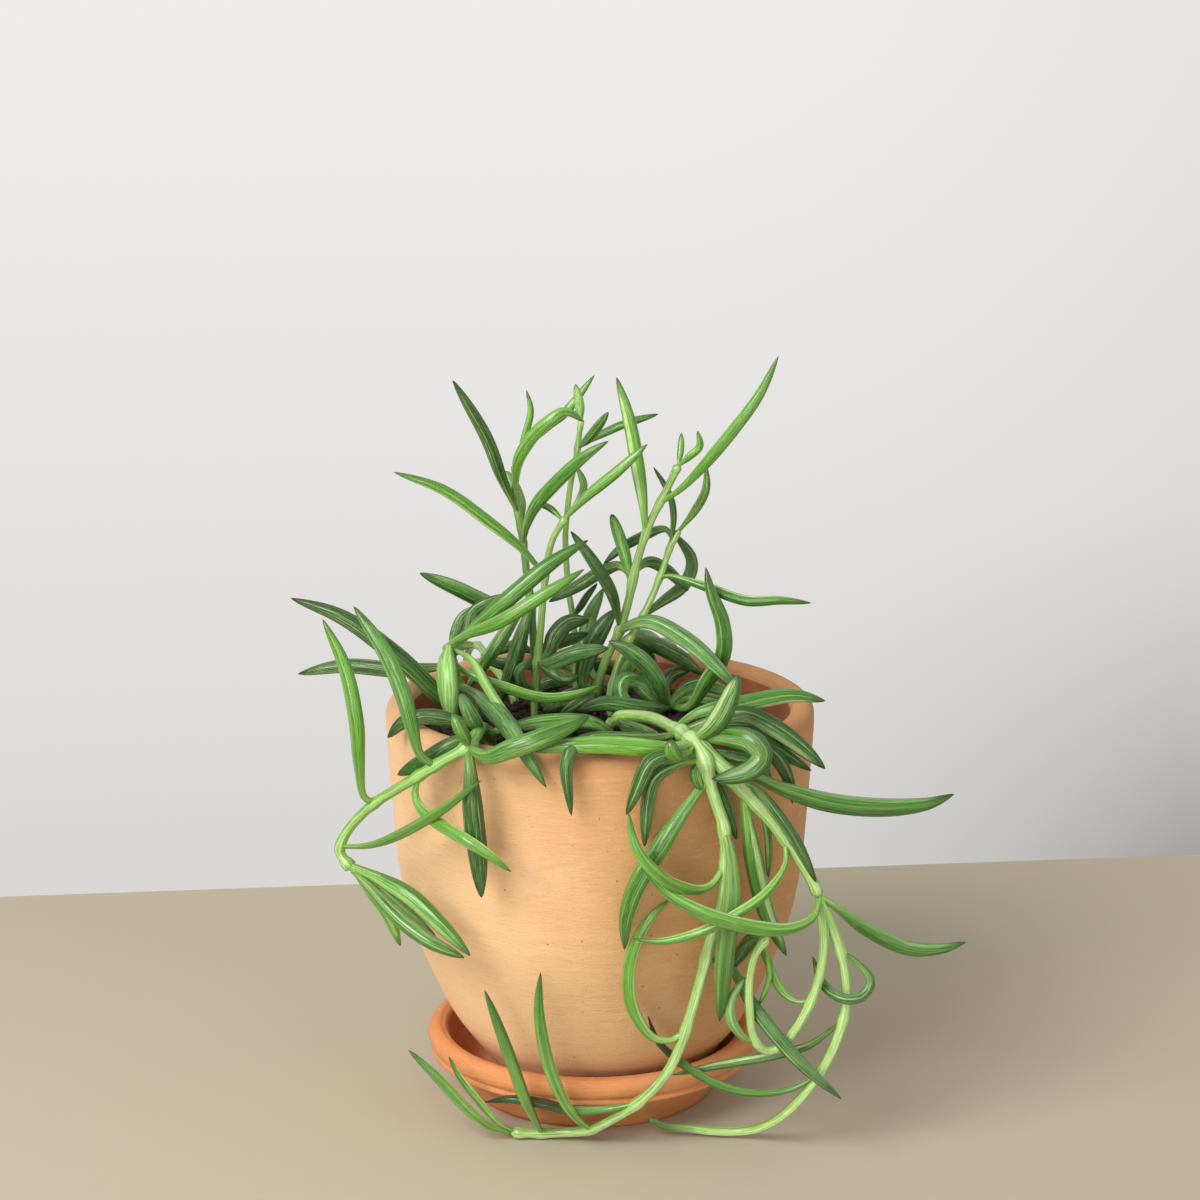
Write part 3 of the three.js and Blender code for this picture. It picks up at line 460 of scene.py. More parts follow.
            [3.9, "mid", (467, 676, 61), (488, 680, 66), (508, 700, 70), (516, 730, 71)],
            [4.1, "dark", (466, 700, 62), (452, 716, 65), (444, 744, 66), (450, 778, 64)],
            [3.8, "mid", (469, 726, 61), (488, 742, 66), (502, 768, 68), (504, 798, 66)],
            [3.8, "dark", (472, 746, 60), (462, 768, 64), (458, 796, 64), (466, 824, 61)],
            [3.4, "mid", (478, 774, 58), (484, 796, 61), (492, 822, 60), (506, 842, 56)],
            [3.7, "dark", (489, 662, 41), (500, 650, 44), (516, 646, 47), (534, 652, 49)],
        ],
    },
    {
        "name": "stem_back_right",
        "slot": "leaf_dark",
        "root": (16, 32),
        "runs": [
            [2.6, (652, 660, 42), (663, 642, 53), (674, 647, 62), (678, 680, 65.5), (676, 722, 65.5),
                (670, 762, 64), (662, 800, 62), (656, 832, 59)],
        ],
        "leaves": [
            [4.1, "dark", (663, 643, 53), (648, 635, 58), (630, 640, 64), (612, 658, 69)],
            [4, "mid", (675, 660, 63), (692, 668, 67), (708, 690, 69), (714, 722, 67)],
            [4.1, "dark", (678, 690, 65), (662, 702, 71), (646, 728, 74), (640, 760, 73)],
            [3.9, "dark", (677, 716, 65), (694, 730, 68), (706, 758, 67), (706, 792, 64)],
            [3.8, "mid", (673, 745, 65), (660, 758, 71), (652, 786, 73), (656, 816, 70)],
            [3.8, "dark", (668, 774, 63), (684, 790, 66), (692, 820, 64), (688, 848, 60)],
            [3.6, "mid", (660, 806, 61), (646, 818, 66), (636, 842, 66), (636, 868, 62)],
            [3.2, "mid", (656, 830, 59), (660, 852, 59), (656, 876, 56), (644, 892, 53)],
        ],
    },
]

# A share past the end of any leaf or stem: no part of it is withered.
NEVER = 1.1

# What each look of leaf is made of: its finish, its outline, how strong its pale stripe (partly painted
# highlight) and its fine dark lines are, and from which share of its length it is withered.
LOOKS = {
    "mid": ("leaf_mid", "pointed", 0.35, 0.75, NEVER),
    "deep": ("leaf_deep", "pointed", 0.3, 0.6, NEVER),
    "mid_striped_highlit": ("leaf_mid", "pointed", 0.95, 0.7, NEVER),
    "bright": ("leaf_bright", "pointed", 0.35, 0.5, NEVER),
    "bright_striped_highlit": ("leaf_bright", "pointed", 1.0, 0.5, NEVER),
    "dark": ("leaf_dark", "pointed", 0.12, 1.0, NEVER),
    "dark_striped_highlit": ("leaf_dark", "pointed", 0.7, 0.9, NEVER),
    "blue": ("leaf_blue", "pointed", 0.12, 1.0, NEVER),
    "blue_striped_highlit": ("leaf_blue", "pointed", 0.7, 1.0, NEVER),
    "bright_blunt": ("leaf_bright", "blunt", 0.2, 0.8, NEVER),
    "pale_blunt": ("leaf_pale", "blunt", 0.1, 0.7, NEVER),
    "pale": ("leaf_pale", "pointed", 0.45, 0.5, NEVER),
    "long_footed": ("leaf_long_footed", "pointed", 1.0, 0.4, NEVER),
    "half_withered": ("leaf_mid", "withered", 0.5, 0.6, 0.42),
    "dry_tip": ("leaf_mid", "withered", 0.3, 0.4, 0.68),
    "browned_blunt": ("leaf_mid", "blunt", 0.2, 0.7, 0.93),
    "browned_tip": ("leaf_bright", "pointed", 0.8, 0.4, 0.955),
}

# Share of the way along a stem's run from which its end is withered.
WITHERED_RUNS = {("stem_front_trailing", 3): 0.86}

# How much of a leaf's or stem's length it takes to go from fresh to withered.
WITHERING_LENGTH = 0.08

# Stems that are greener than the others, stems with a strong pale stripe, which on a stem is painted
# highlight, and the stems' markings.
GREENER_STEMS = {"stem_left_trailing", "stem_left_tall", "stem_low_right"}
HIGHLIGHTED_STEMS = {"stem_front_trailing"}
STRONG_STRIPE_HIGHLIGHT = 0.75
WEAK_STRIPE_HIGHLIGHT = 0.3
STEM_LINES = 0.45

# A leaf's outline: the shares of its length from which it is full and from which a blunt one rounds
# off, how late and how steeply each kind of end narrows, and the point's share of the full width.
LEAF_FULL_FROM = 0.45
BLUNT_FROM = 0.62
BLUNT_END = (2.4, 0.5)
POINTED_END = (2.6, 0.7)
LEAF_POINT = 0.012

# How deep the folds of a withered leaf are, and their wave along it, in radians a leaf.
SHRIVELLING = 0.18
SHRIVEL_WAVE = 41

# How much more closely a leaf's rings lie at its ends than in its middle, from 0 to 1.
RING_CROWDING = 0.55

# A leaf turns its striped side to the viewer, to the hollow of its bend and up, in these shares, so
# that its stripe, which is partly painted highlight, shows.
TO_VIEWER = 0.7
TO_HOLLOW = 0.9
TO_SKY = np.array([0, 0, 0.35])

# A bend of less than this, in metres, turns a leaf less.
FULL_BEND = 0.004

# A stem: how much thinner its run's end is, how far a swelling reaches in widths of the stem, how
# thick the very end is, and how a branch starts thinner and is full after a length in metres.
STEM_TAPER = 0.25
SWELLING_REACH = 0.55
RUN_END = 0.002
BRANCH_START = 0.75
BRANCH_FULL_AFTER = 0.004
# A stem turns its stripe, which is painted highlight, to this side, toward the viewer.
STEM_FACING = np.array([0.2, -1.0, 0.3])

# Points of the smooth line along a leaf, the fewest along a run of stem, those between two given
# points, and a run's fewest rings.
LINE_POINTS = 72
FEWEST_RUN_POINTS = 60
SPAN_POINTS = 40
FEWEST_RUN_RINGS = 8

# The length of stem in metres that has the same markings as a whole leaf.
MARKINGS_LENGTH = 0.05

# Places closer than this, in metres, are one.
TOUCHING = 1e-6


def colour_setting(name, description, default):
    """A colour that a user can change."""
    return FloatVectorProperty(name=name, description=description, subtype="COLOR", default=default,
                               size=3, min=0, max=1)


class PlantSettings(bpy.types.PropertyGroup):
    """Sizes and colours of the leafy stems."""

    leaf_sides: IntProperty(
        name="Leaf sides", description="Faces round a leaf", default=16, min=8, max=32)
    leaf_rings: IntProperty(
        name="Leaf rings", description="Rings along a leaf", default=34, min=12, max=80)
    leaf_foot: FloatProperty(
        name="Leaf foot", description="Width of a leaf's foot as a share of its full width",
        default=0.42, min=0.1, max=1.0, subtype="FACTOR")
    leaf_taper_from: FloatProperty(
        name="Taper from", description="Share of a leaf's length where it starts to narrow",
        default=0.5, min=0.1, max=0.95, subtype="FACTOR")
    leaf_flatness: FloatProperty(
        name="Striped side", description="Height of a leaf's striped side against its round side",
        default=0.84, min=0.5, max=1.0, subtype="FACTOR")
    stem_sides: IntProperty(
        name="Stem sides", description="Faces round a stem", default=14, min=8, max=32)
    ring_step: FloatProperty(
        name="Stem ring step", description="Distance between rings along a stem",
        default=0.0014, min=0.0005, max=0.01, unit="LENGTH")
    node_swelling: FloatProperty(
        name="Node swelling", description="How much a stem swells where a leaf leaves it",
        default=0.2, min=0.0, max=0.6, subtype="FACTOR")
    bright_green: colour_setting("Bright green", "Skin of the young leaves", (0.15, 0.445, 0.03))
    mid_green: colour_setting("Mid green", "Skin of the full-grown leaves", (0.086, 0.322, 0.021))
    dark_green: colour_setting("Dark green", "Skin of the oldest leaves", (0.034, 0.146, 0.012))
    blue_green: colour_setting("Blue green", "Skin of the leaves with a pale bloom", (0.09, 0.3, 0.056))
    pale_green: colour_setting("Pale green", "Skin of the palest leaves", (0.28, 0.6, 0.13))
    stem_green: colour_setting("Stem green", "Skin of the stems", (0.4, 0.72, 0.165))
    deep_stem_green: colour_setting(
        "Deep stem green", "Skin of the greener stems", (0.205, 0.48, 0.055))
    # The stripe colour is partly the leaf's see-through window and partly painted highlight.
    stripe_and_highlight_green: colour_setting("Stripe", "The see-through stripe along a leaf", (0.65, 0.88, 0.4))
    withered_brown: colour_setting("Withered", "Dried ends of leaves and stems", (0.05, 0.042, 0.014))


class ClaySettings(bpy.types.PropertyGroup):
    """Sizes and colours of the pot and the saucer."""

    round_sides: IntProperty(
        name="Sides", description="Faces round the pot and the saucer", default=128, min=36, max=256)
    outline_step: FloatProperty(
        name="Outline step", description="Distance between rings up the wall",
        default=0.0016, min=0.0005, max=0.01, unit="LENGTH")
    throwing_depth: FloatProperty(
        name="Throwing rings", description="Height of the rings that the potter's fingers leave",
        default=0.00005, min=0.0, max=0.0005, unit="LENGTH")
    crease_depth: FloatProperty(
        name="Crease depth", description="Depth of the crease inside the saucer's lip",
        default=0.0003, min=0.0, max=0.001, unit="LENGTH")
    # Painted light and shade: the pot's clay is paler at its lit left and deeper at its shaded right.
    pot_clay: colour_setting("Pot clay", "Paler clay at the pot's left", (0.9, 0.605, 0.345))
    deep_clay: colour_setting("Deep clay", "Deeper clay at the pot's right", (0.65, 0.34, 0.137))
    # Clay inside the pot: partly damp clay, partly painted shade.
    damp_clay: colour_setting(
        "Damp clay", "Clay inside the pot and above the soil", (0.33, 0.105, 0.036))
    saucer_clay: colour_setting("Saucer clay", "Fired clay of the saucer", (0.68, 0.272, 0.1))


class SoilSettings(bpy.types.PropertyGroup):
    """Sizes and colours of the potting soil."""

    crumbs: IntProperty(
        name="Crumbs", description="Crumbs that lie on the soil", default=900, min=0, max=3000)
    chips: IntProperty(
        name="Bark chips", description="Chips of bark on the soil", default=90, min=0, max=400)
    crumb_size: FloatProperty(
        name="Crumb size", description="Radius of the largest crumbs",
        default=0.0014, min=0.0003, max=0.004, unit="LENGTH")
    roughness: FloatProperty(
        name="Unevenness", description="Height of the bumps in the soil's top",
        default=0.0016, min=0.0, max=0.005, unit="LENGTH")
    soil_brown: colour_setting("Soil", "Damp potting soil", (0.062, 0.034, 0.019))
    bark_brown: colour_setting("Bark", "Chips of bark", (0.14, 0.066, 0.028))
    fleck_pale: colour_setting("Flecks", "Pale mineral crumbs", (0.55, 0.5, 0.42))


class StageSettings(bpy.types.PropertyGroup):
    """Table, background and light."""

    table_colour: colour_setting("Table", "Colour of the table", (0.5, 0.46, 0.362))
    key_power: FloatProperty(
        name="Key light", description="Power of the large light at the upper left",
        default=18.5, min=0.0, max=200.0, unit="POWER")
    fill_power: FloatProperty(
        name="Fill light", description="Power of the soft light at the right",
        default=0.7, min=0.0, max=200.0, unit="POWER")
    low_power: FloatProperty(
        name="Low light", description="Power of the soft, low light at the front left",
        default=3.6, min=0.0, max=200.0, unit="POWER")
    room_light: FloatProperty(
        name="Room light", description="Brightness of the light from all sides",
        default=0.57, min=0.0, max=5.0)


# Modelling.

def start_piece():
    """Leaves edit mode and deselects everything, as before each new primitive."""
    if bpy.context.object and bpy.context.object.mode != "OBJECT":
        bpy.ops.object.mode_set(mode="OBJECT")
    bpy.ops.object.select_all(action="DESELECT")


def edit_all():
    """Enters edit mode with all of the active piece selected."""
    bpy.ops.object.mode_set(mode="EDIT")
    bpy.ops.mesh.select_all(action="SELECT")


def delete_pieces(pieces):
    """Deletes models whose copies are made."""
    start_piece()
    for piece in pieces:
        piece.select_set(True)
    bpy.ops.object.delete()


def ring_body(name, rings, sides, end):
    """A round body modelled ring by ring from a circle, up the Z axis.

    rings are (radius, height) in metres. end "flat" closes both ends with faces, "point" draws the
    last ring together into a point, and "join" joins the last ring to the first.
    """
    start_piece()
    radius, height = rings[0]
    bpy.ops.mesh.primitive_circle_add(vertices=sides, radius=radius, location=(0, 0, height))
    piece = bpy.context.object
    piece.name = piece.data.name = name
    bpy.ops.object.transform_apply(location=True, rotation=True, scale=True)
    bpy.ops.object.mode_set(mode="EDIT")
    bpy.ops.mesh.select_mode(type="EDGE")
    bpy.ops.mesh.select_all(action="SELECT")
    for next_radius, next_height in rings[1:]:
        bpy.ops.mesh.extrude_edges_move(
            TRANSFORM_OT_translate={"value": (0, 0, next_height - height)})
        grow = next_radius / radius
        bpy.ops.transform.resize(value=(grow, grow, 1), center_override=(0, 0, next_height))
        radius, height = next_radius, next_height
    if end == "point":
        bpy.ops.mesh.merge(type="CENTER")
    if end == "join":
        bpy.ops.mesh.select_all(action="SELECT")
        bpy.ops.mesh.remove_doubles(threshold=TOUCHING)
    else:
        bpy.ops.mesh.select_all(action="DESELECT")
        bpy.ops.mesh.select_non_manifold()
        bpy.ops.mesh.edge_face_add()
    bpy.ops.mesh.select_all(action="SELECT")
    bpy.ops.mesh.normals_make_consistent(inside=False)
    bpy.ops.object.mode_set(mode="OBJECT")
    bpy.ops.object.shade_smooth()
    return piece


def finish_piece(piece, node):
    """The piece stands for a node of the frame: it hangs from the root, and that node's own part is
    hidden.
    """
    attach(piece, "root")
    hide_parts(node)


def join_pieces(name, pieces):
    """Joins pieces into one mesh with that name."""
    start_piece()
    for piece in pieces:
        piece.select_set(True)
    bpy.context.view_layer.objects.active = pieces[0]
    bpy.ops.object.join()
    whole = bpy.context.object
    whole.name = whole.data.name = name
    return whole


def copy_piece(piece, name):
    """A copy of a piece with its own mesh."""
    twin = piece.copy()
    twin.data = piece.data.copy()
    twin.name = name
    bpy.context.collection.objects.link(twin)
    return twin


def places_of(mesh):
    """The places of a mesh's vertices, one row each."""
    flat = np.empty(len(mesh.vertices) * 3)
    mesh.vertices.foreach_get("co", flat)
    return flat.reshape(-1, 3)


def set_places(mesh, places):
    """Moves a mesh's vertices to places."""
    mesh.vertices.foreach_set("co", np.asarray(places, float).ravel())
    mesh.update()


def smooth_line(places, count):
    """Evenly spaced places on the smooth line through the given ones, and its length.

    It is the uniform Catmull-Rom line, which runs on straight past both of its ends.
    """
    knots = np.vstack([2 * places[0] - places[1], places, 2 * places[-1] - places[-2]])
    share = np.linspace(0, 1, SPAN_POINTS, endpoint=False)[:, None]
    spans = []
    for before, start, end, after in zip(knots, knots[1:], knots[2:], knots[3:]):
        leave = (end - before) / 2
        arrive = (after - start) / 2
        spans.append(start + share * leave
                     + share ** 2 * (3 * (end - start) - 2 * leave - arrive)
                     + share ** 3 * (2 * (start - end) + leave + arrive))
    dense = np.vstack([*spans, places[-1:]])
    travelled = np.append(0, np.cumsum(np.linalg.norm(np.diff(dense, axis=0), axis=1)))
    even = np.linspace(0, travelled[-1], count)
    line = np.stack([np.interp(even, travelled, values) for values in dense.T], axis=1)
    return line, travelled[-1]


def unit(vectors):
    """Vectors made one unit long."""
    return vectors / np.linalg.norm(vectors, axis=-1, keepdims=True)


def sides_along(line, facing):
    """Directions along a line and square to it that never spin, turned to facing at its middle."""
    ahead = unit(np.gradient(line, axis=0))
    middle = len(line) // 2
    aside = np.empty_like(line)
    aside[middle] = unit(facing - facing @ ahead[middle] * ahead[middle])
    for here in range(middle + 1, len(line)):
        aside[here] = aside[here - 1] - aside[here - 1] @ ahead[here] * ahead[here]
    for here in range(middle - 1, -1, -1):
        aside[here] = aside[here + 1] - aside[here + 1] @ ahead[here] * ahead[here]
    return ahead, unit(aside)


def lay_along(piece, line, facing, half_width):
    """Lays a straight body, one unit long up the Z axis, along a line. Its +Y side turns to facing."""
    ahead, aside = sides_along(line, facing)
    across = np.cross(aside, ahead)
    places = places_of(piece.data)
    at = places[:, 2] * (len(line) - 1)
    steps = np.arange(len(line))
    centre, up, right = (
        np.stack([np.interp(at, steps, values[:, axis]) for axis in range(3)], axis=1)
        for values in (line, aside, across))
    set_places(piece.data, centre + half_width * (places[:, 1:2] * up + places[:, :1] * right))


def map_skin(mesh, length=1.0):
    """A map for the skin's markings: the share of a turn round the body, and the way along it."""
    places = places_of(mesh)
    turn = np.arctan2(places[:, 1], places[:, 0]) / (2 * math.pi) % 1
    skin = mesh.uv_layers.new(name="skin_map")
    for face in mesh.polygons:
        corners = list(face.loop_indices)
        points = [mesh.loops[corner].vertex_index for corner in corners]
        turns = [turn[point] for point in points]
        if max(turns) - min(turns) > 0.5:
            turns = [value + 1 if value < 0.5 else value for value in turns]
        for corner, point, value in zip(corners, points, turns):
            on_axis = math.hypot(places[point][0], places[point][1]) < TOUCHING
            spread = sum(turns) / len(turns) if on_axis else value
            skin.data[corner].uv = (spread, places[point][2] * length)


def mark_skin(mesh, shares, tone, stripe, lines, withered_from):
    """Marks for the skin's finish at each vertex: tone, stripe, fine lines, and how withered it is."""
    marks = mesh.color_attributes.new("skin_marks", "FLOAT_COLOR", "POINT")
    withered = np.clip((shares - withered_from) / WITHERING_LENGTH, 0, 1)
    values = np.stack([np.full_like(shares, tone), np.full_like(shares, stripe),
                       np.full_like(shares, lines), withered], axis=1)
    marks.data.foreach_set("color", values.ravel())


def seen(point):
    """The place in metres at a spot of the front view and a depth behind the pot's axis."""
    across, down, depth = point
    right = across - EYE_CENTRE[0]
    up = EYE_CENTRE[1] - down
    away = EYE_FOCAL * math.cos(EYE_PITCH) + up * math.sin(EYE_PITCH)
    rise = up * math.cos(EYE_PITCH) - EYE_FOCAL * math.sin(EYE_PITCH)
    reach = (depth + EYE_BACK) / away
    return np.array([right * reach, depth, EYE_HEIGHT + rise * reach]) * MM


def soil_height(radius):
    """The soil's height in mm under its mounded top, by distance from the axis in mm."""
    share = radius / POT_INSIDE[0][0]
    return SOIL_TOP + (SOIL_EDGE - SOIL_TOP) * share * share


def nearest_on(lines, place):
    """The place nearest to another on some lines, with the line's number and the share along it."""
    choices = []
    for number, line in enumerate(lines):
        gaps = np.linalg.norm(line - place, axis=1)
        best = int(gaps.argmin())
        choices.append((gaps[best], number, best / (len(line) - 1)))
    _, number, share = min(choices)
    line = lines[number]
    return line[round(share * (len(line) - 1))], number, share


# Finishes.

def put(tree, kind, settings=None, **inputs):
    """Adds a node. Each input's name has _ for a space, or is i and its number.

    Its value is a number, a colour or a socket.
    """
    node = tree.nodes.new(kind)
    for name, value in (settings or {}).items():
        setattr(node, name, value)
    for name, value in inputs.items():
        key = int(name[1:]) if name[0] == "i" and name[1:].isdigit() else name.replace("_", " ")
        socket = node.inputs[key]
        if isinstance(value, bpy.types.NodeSocket):
            tree.links.new(value, socket)
        elif socket.type == "RGBA":
            socket.default_value = (*value[:3], 1)
        else:
            socket.default_value = value
    return node


def sums(tree, operation, first, second=0.0, third=None, clamp=False):
    """A sum of numbers: ADD, MULTIPLY_ADD, SINE and so on."""
    values = {"i0": first, "i1": second}
    if third is not None:
        values["i2"] = third
    return put(tree, "ShaderNodeMath", {"operation": operation, "use_clamp": clamp},
               **values).outputs[0]


def times(tree, product, *others, clamp=False):
    """The product of some numbers."""
    for other in others:
        product = sums(tree, "MULTIPLY", product, other, clamp=clamp)
    return product


def ramp(tree, value, low, high, to_low=0.0, to_high=1.0):
    """A smooth step of value from low to high."""
    return put(tree, "ShaderNodeMapRange", {"interpolation_type": "SMOOTHSTEP"}, Value=value,
               From_Min=low, From_Max=high, To_Min=to_low, To_Max=to_high).outputs[0]


def blend(tree, share, first, second):
    """The first colour where share is 0, and the second where it is 1."""
    return put(tree, "ShaderNodeMix", {"data_type": "RGBA", "clamp_factor": True}, i0=share,
               i6=first, i7=second).outputs[2]


def noise(tree, place, scale, detail=2.0, roughness=0.5):
    """Smooth noise from 0 to 1."""
    return put(tree, "ShaderNodeTexNoise", Vector=place, Scale=scale, Detail=detail,
               Roughness=roughness).outputs["Fac"]


def stretched_noise(tree, place, scale, detail, roughness):
    """Smooth noise with its own scale along each axis."""
    drawn_out = put(tree, "ShaderNodeMapping", Vector=place, Scale=scale).outputs[0]
    return noise(tree, drawn_out, 1.0, detail, roughness)


def new_group(name, inputs, outputs):
    """A group of shader nodes with named sockets: inputs are (name, kind, default)."""
    tree = bpy.data.node_groups.new(name, "ShaderNodeTree")
    for label, kind, default in inputs:
        socket = tree.interface.new_socket(label, in_out="INPUT", socket_type=kind)
        socket.default_value = (*default, 1) if kind == "NodeSocketColor" else default
    for label, kind in outputs:
        tree.interface.new_socket(label, in_out="OUTPUT", socket_type=kind)
    return tree, tree.nodes.new("NodeGroupInput").outputs, tree.nodes.new("NodeGroupOutput").inputs


COLOUR = "NodeSocketColor"
NUMBER = "NodeSocketFloat"
SURFACE = [("Colour", COLOUR), ("Roughness", NUMBER), ("Height", NUMBER)]


def fleshy_skin_group():
    """The skin of leaves and stems: fine lines along them, a pale stripe partly of painted highlight,
    painted shade on the flanks, bloom and withered ends.
    """
    tree, given, made = new_group("Fleshy skin", [
        ("Skin", COLOUR, (0.1, 0.3, 0.05)),
        ("Foot", COLOUR, (0.3, 0.5, 0.15)),
        ("Stripe", COLOUR, (0.5, 0.7, 0.36)),
        ("Line", COLOUR, (0.03, 0.1, 0.02)),
        ("Withered", COLOUR, (0.05, 0.04, 0.01)),
        ("Bloom", NUMBER, 0.2),
        ("Foot length", NUMBER, 0.3),
        ("Full length", NUMBER, 1.0),
        ("Point strength", NUMBER, 0.8),
        ("Flank strength", NUMBER, 0.5),
        ("Stripe spread", NUMBER, 0.0),
    ], SURFACE)
    marks = put(tree, "ShaderNodeAttribute", {"attribute_name": "skin_marks"})
    tone, stripe, lines = put(tree, "ShaderNodeSeparateColor", Color=marks.outputs["Color"]).outputs
    withered = marks.outputs["Alpha"]
    where = put(tree, "ShaderNodeUVMap", {"uv_map": "skin_map"}).outputs[0]
    round_it, along, _ = put(tree, "ShaderNodeSeparateXYZ", Vector=where).outputs
    turn = times(tree, round_it, 2 * math.pi)
    upward = sums(tree, "SINE", turn)
    sideways = sums(tree, "COSINE", turn)

    # The pattern's own space: round the body, drawn out along it, and elsewhere for each leaf.
    drawn_out = sums(tree, "MULTIPLY_ADD", along, 0.24, times(tree, tone, 37.0))
    skin_place = put(tree, "ShaderNodeCombineXYZ", X=upward, Y=sideways, Z=drawn_out).outputs[0]
    dash_place = put(tree, "ShaderNodeCombineXYZ", X=upward, Y=sideways,
                     Z=times(tree, drawn_out, 13.0)).outputs[0]
    place = put(tree, "ShaderNodeTexCoord").outputs["Object"]
    wide = noise(tree, skin_place, 2.0, 2.0)
    patches = noise(tree, place, 90.0, 3.0)
    specks = ramp(tree, noise(tree, place, 2600.0, 1.0), 0.62, 0.72)

    # Fine pale and dark lines, broken into dashes, and wide paler streaks.
    dashes = ramp(tree, noise(tree, dash_place, 5.0, 0.0), 0.38, 0.62, 0.35, 1.0)
    fine = ramp(tree, noise(tree, skin_place, 6.6, 2.0, 0.6), 0.48, 0.535)
    pale_fine = ramp(tree, noise(tree, skin_place, 7.8, 2.0, 0.6), 0.53, 0.585)
    line_share = times(tree, fine, dashes, lines)
    pale_share = times(tree, pale_fine, dashes, lines, 0.48)
    colour = blend(tree, pale_share, given["Skin"], given["Stripe"])
    colour = blend(tree, times(tree, line_share, 0.8), colour, given["Line"])
    lighter = blend(tree, 0.5, colour, given["Foot"])
    colour = blend(tree, ramp(tree, wide, 0.5, 0.75, 0.0, 0.25), colour, lighter)

    # The paler foot.
    footward = sums(tree, "DIVIDE", along, given["Foot length"])
    near_foot = sums(tree, "SUBTRACT", 1.0, footward, clamp=True)
    colour = blend(tree, times(tree, near_foot, 0.85), colour, given["Foot"])

    # Pale stripes along the flatter side, partly the see-through window and partly painted highlight,
    # and along the round one, painted highlight; and faint pale edges beside the first. They fade at
    # both ends.
    share = sums(tree, "DIVIDE", along, given["Full length"])
    fades = times(tree, ramp(tree, along, 0.04, 0.3), ramp(tree, share, 0.98, 0.82))
    ragged = sums(tree, "MULTIPLY_ADD", wide, 0.1, upward)
    either_side = sums(tree, "ABSOLUTE", ragged)
    centre = ramp(tree, sums(tree, "ADD", either_side, given["Stripe spread"]), 0.955, 1.03)
    stripe_and_highlight_share = times(tree, centre, fades, stripe)
    colour = blend(tree, times(tree, stripe_and_highlight_share, 0.8, clamp=True), colour, given["Stripe"])
    edge = times(tree, ramp(tree, ragged, 0.42, 0.5), ramp(tree, ragged, 0.6, 0.52))
    edge = times(tree, edge, lines, times(tree, fades, 0.36))
    colour = blend(tree, edge, colour, given["Stripe"])

    # Painted shade on the flanks, and a deeper far end.
    flank_shade = times(tree, ramp(tree, either_side, 0.55, 0.1), given["Flank strength"])
    colour = blend(tree, flank_shade, colour, given["Line"])
    deep_end = times(tree, ramp(tree, along, 0.84, 0.98), given["Point strength"])
    colour = blend(tree, times(tree, deep_end, 0.6), colour, given["Line"])

    # Pale bloom and specks, and each leaf's own brightness.
    bloom = times(tree, ramp(tree, patches, 0.3, 0.75), given["Bloom"])
    colour = blend(tree, bloom, colour, (0.38, 0.6, 0.25))
    colour = blend(tree, times(tree, specks, 0.05), colour, given["Stripe"])
    value = sums(tree, "MULTIPLY_ADD", tone, 0.36, 0.82)
    colour = put(tree, "ShaderNodeHueSaturation", Value=value, Color=colour).outputs[0]

    # The brown point, and withered lengths.
    point = times(tree, ramp(tree, along, 0.975, 0.995), ramp(tree, lines, 0.0, 0.3))
    colour = blend(tree, times(tree, point, given["Point strength"]), colour, given["Withered"])
    dry = blend(tree, ramp(tree, patches, 0.35, 0.7), given["Withered"], given["Line"])
    tree.links.new(blend(tree, withered, colour, dry), made["Colour"])

    rough = sums(tree, "MULTIPLY_ADD", line_share, 0.1, 0.33)
    rough = sums(tree, "MULTIPLY_ADD", stripe_and_highlight_share, -0.06, rough)
    rough = sums(tree, "MULTIPLY_ADD", bloom, 0.3, rough)
    tree.links.new(sums(tree, "MULTIPLY_ADD", withered, 0.25, rough), made["Roughness"])
    height = sums(tree, "MULTIPLY_ADD", line_share, -0.6, times(tree, wide, 0.6))
    height = sums(tree, "MULTIPLY_ADD", times(tree, fine, withered), 1.5, height)
    tree.links.new(height, made["Height"])
    return tree


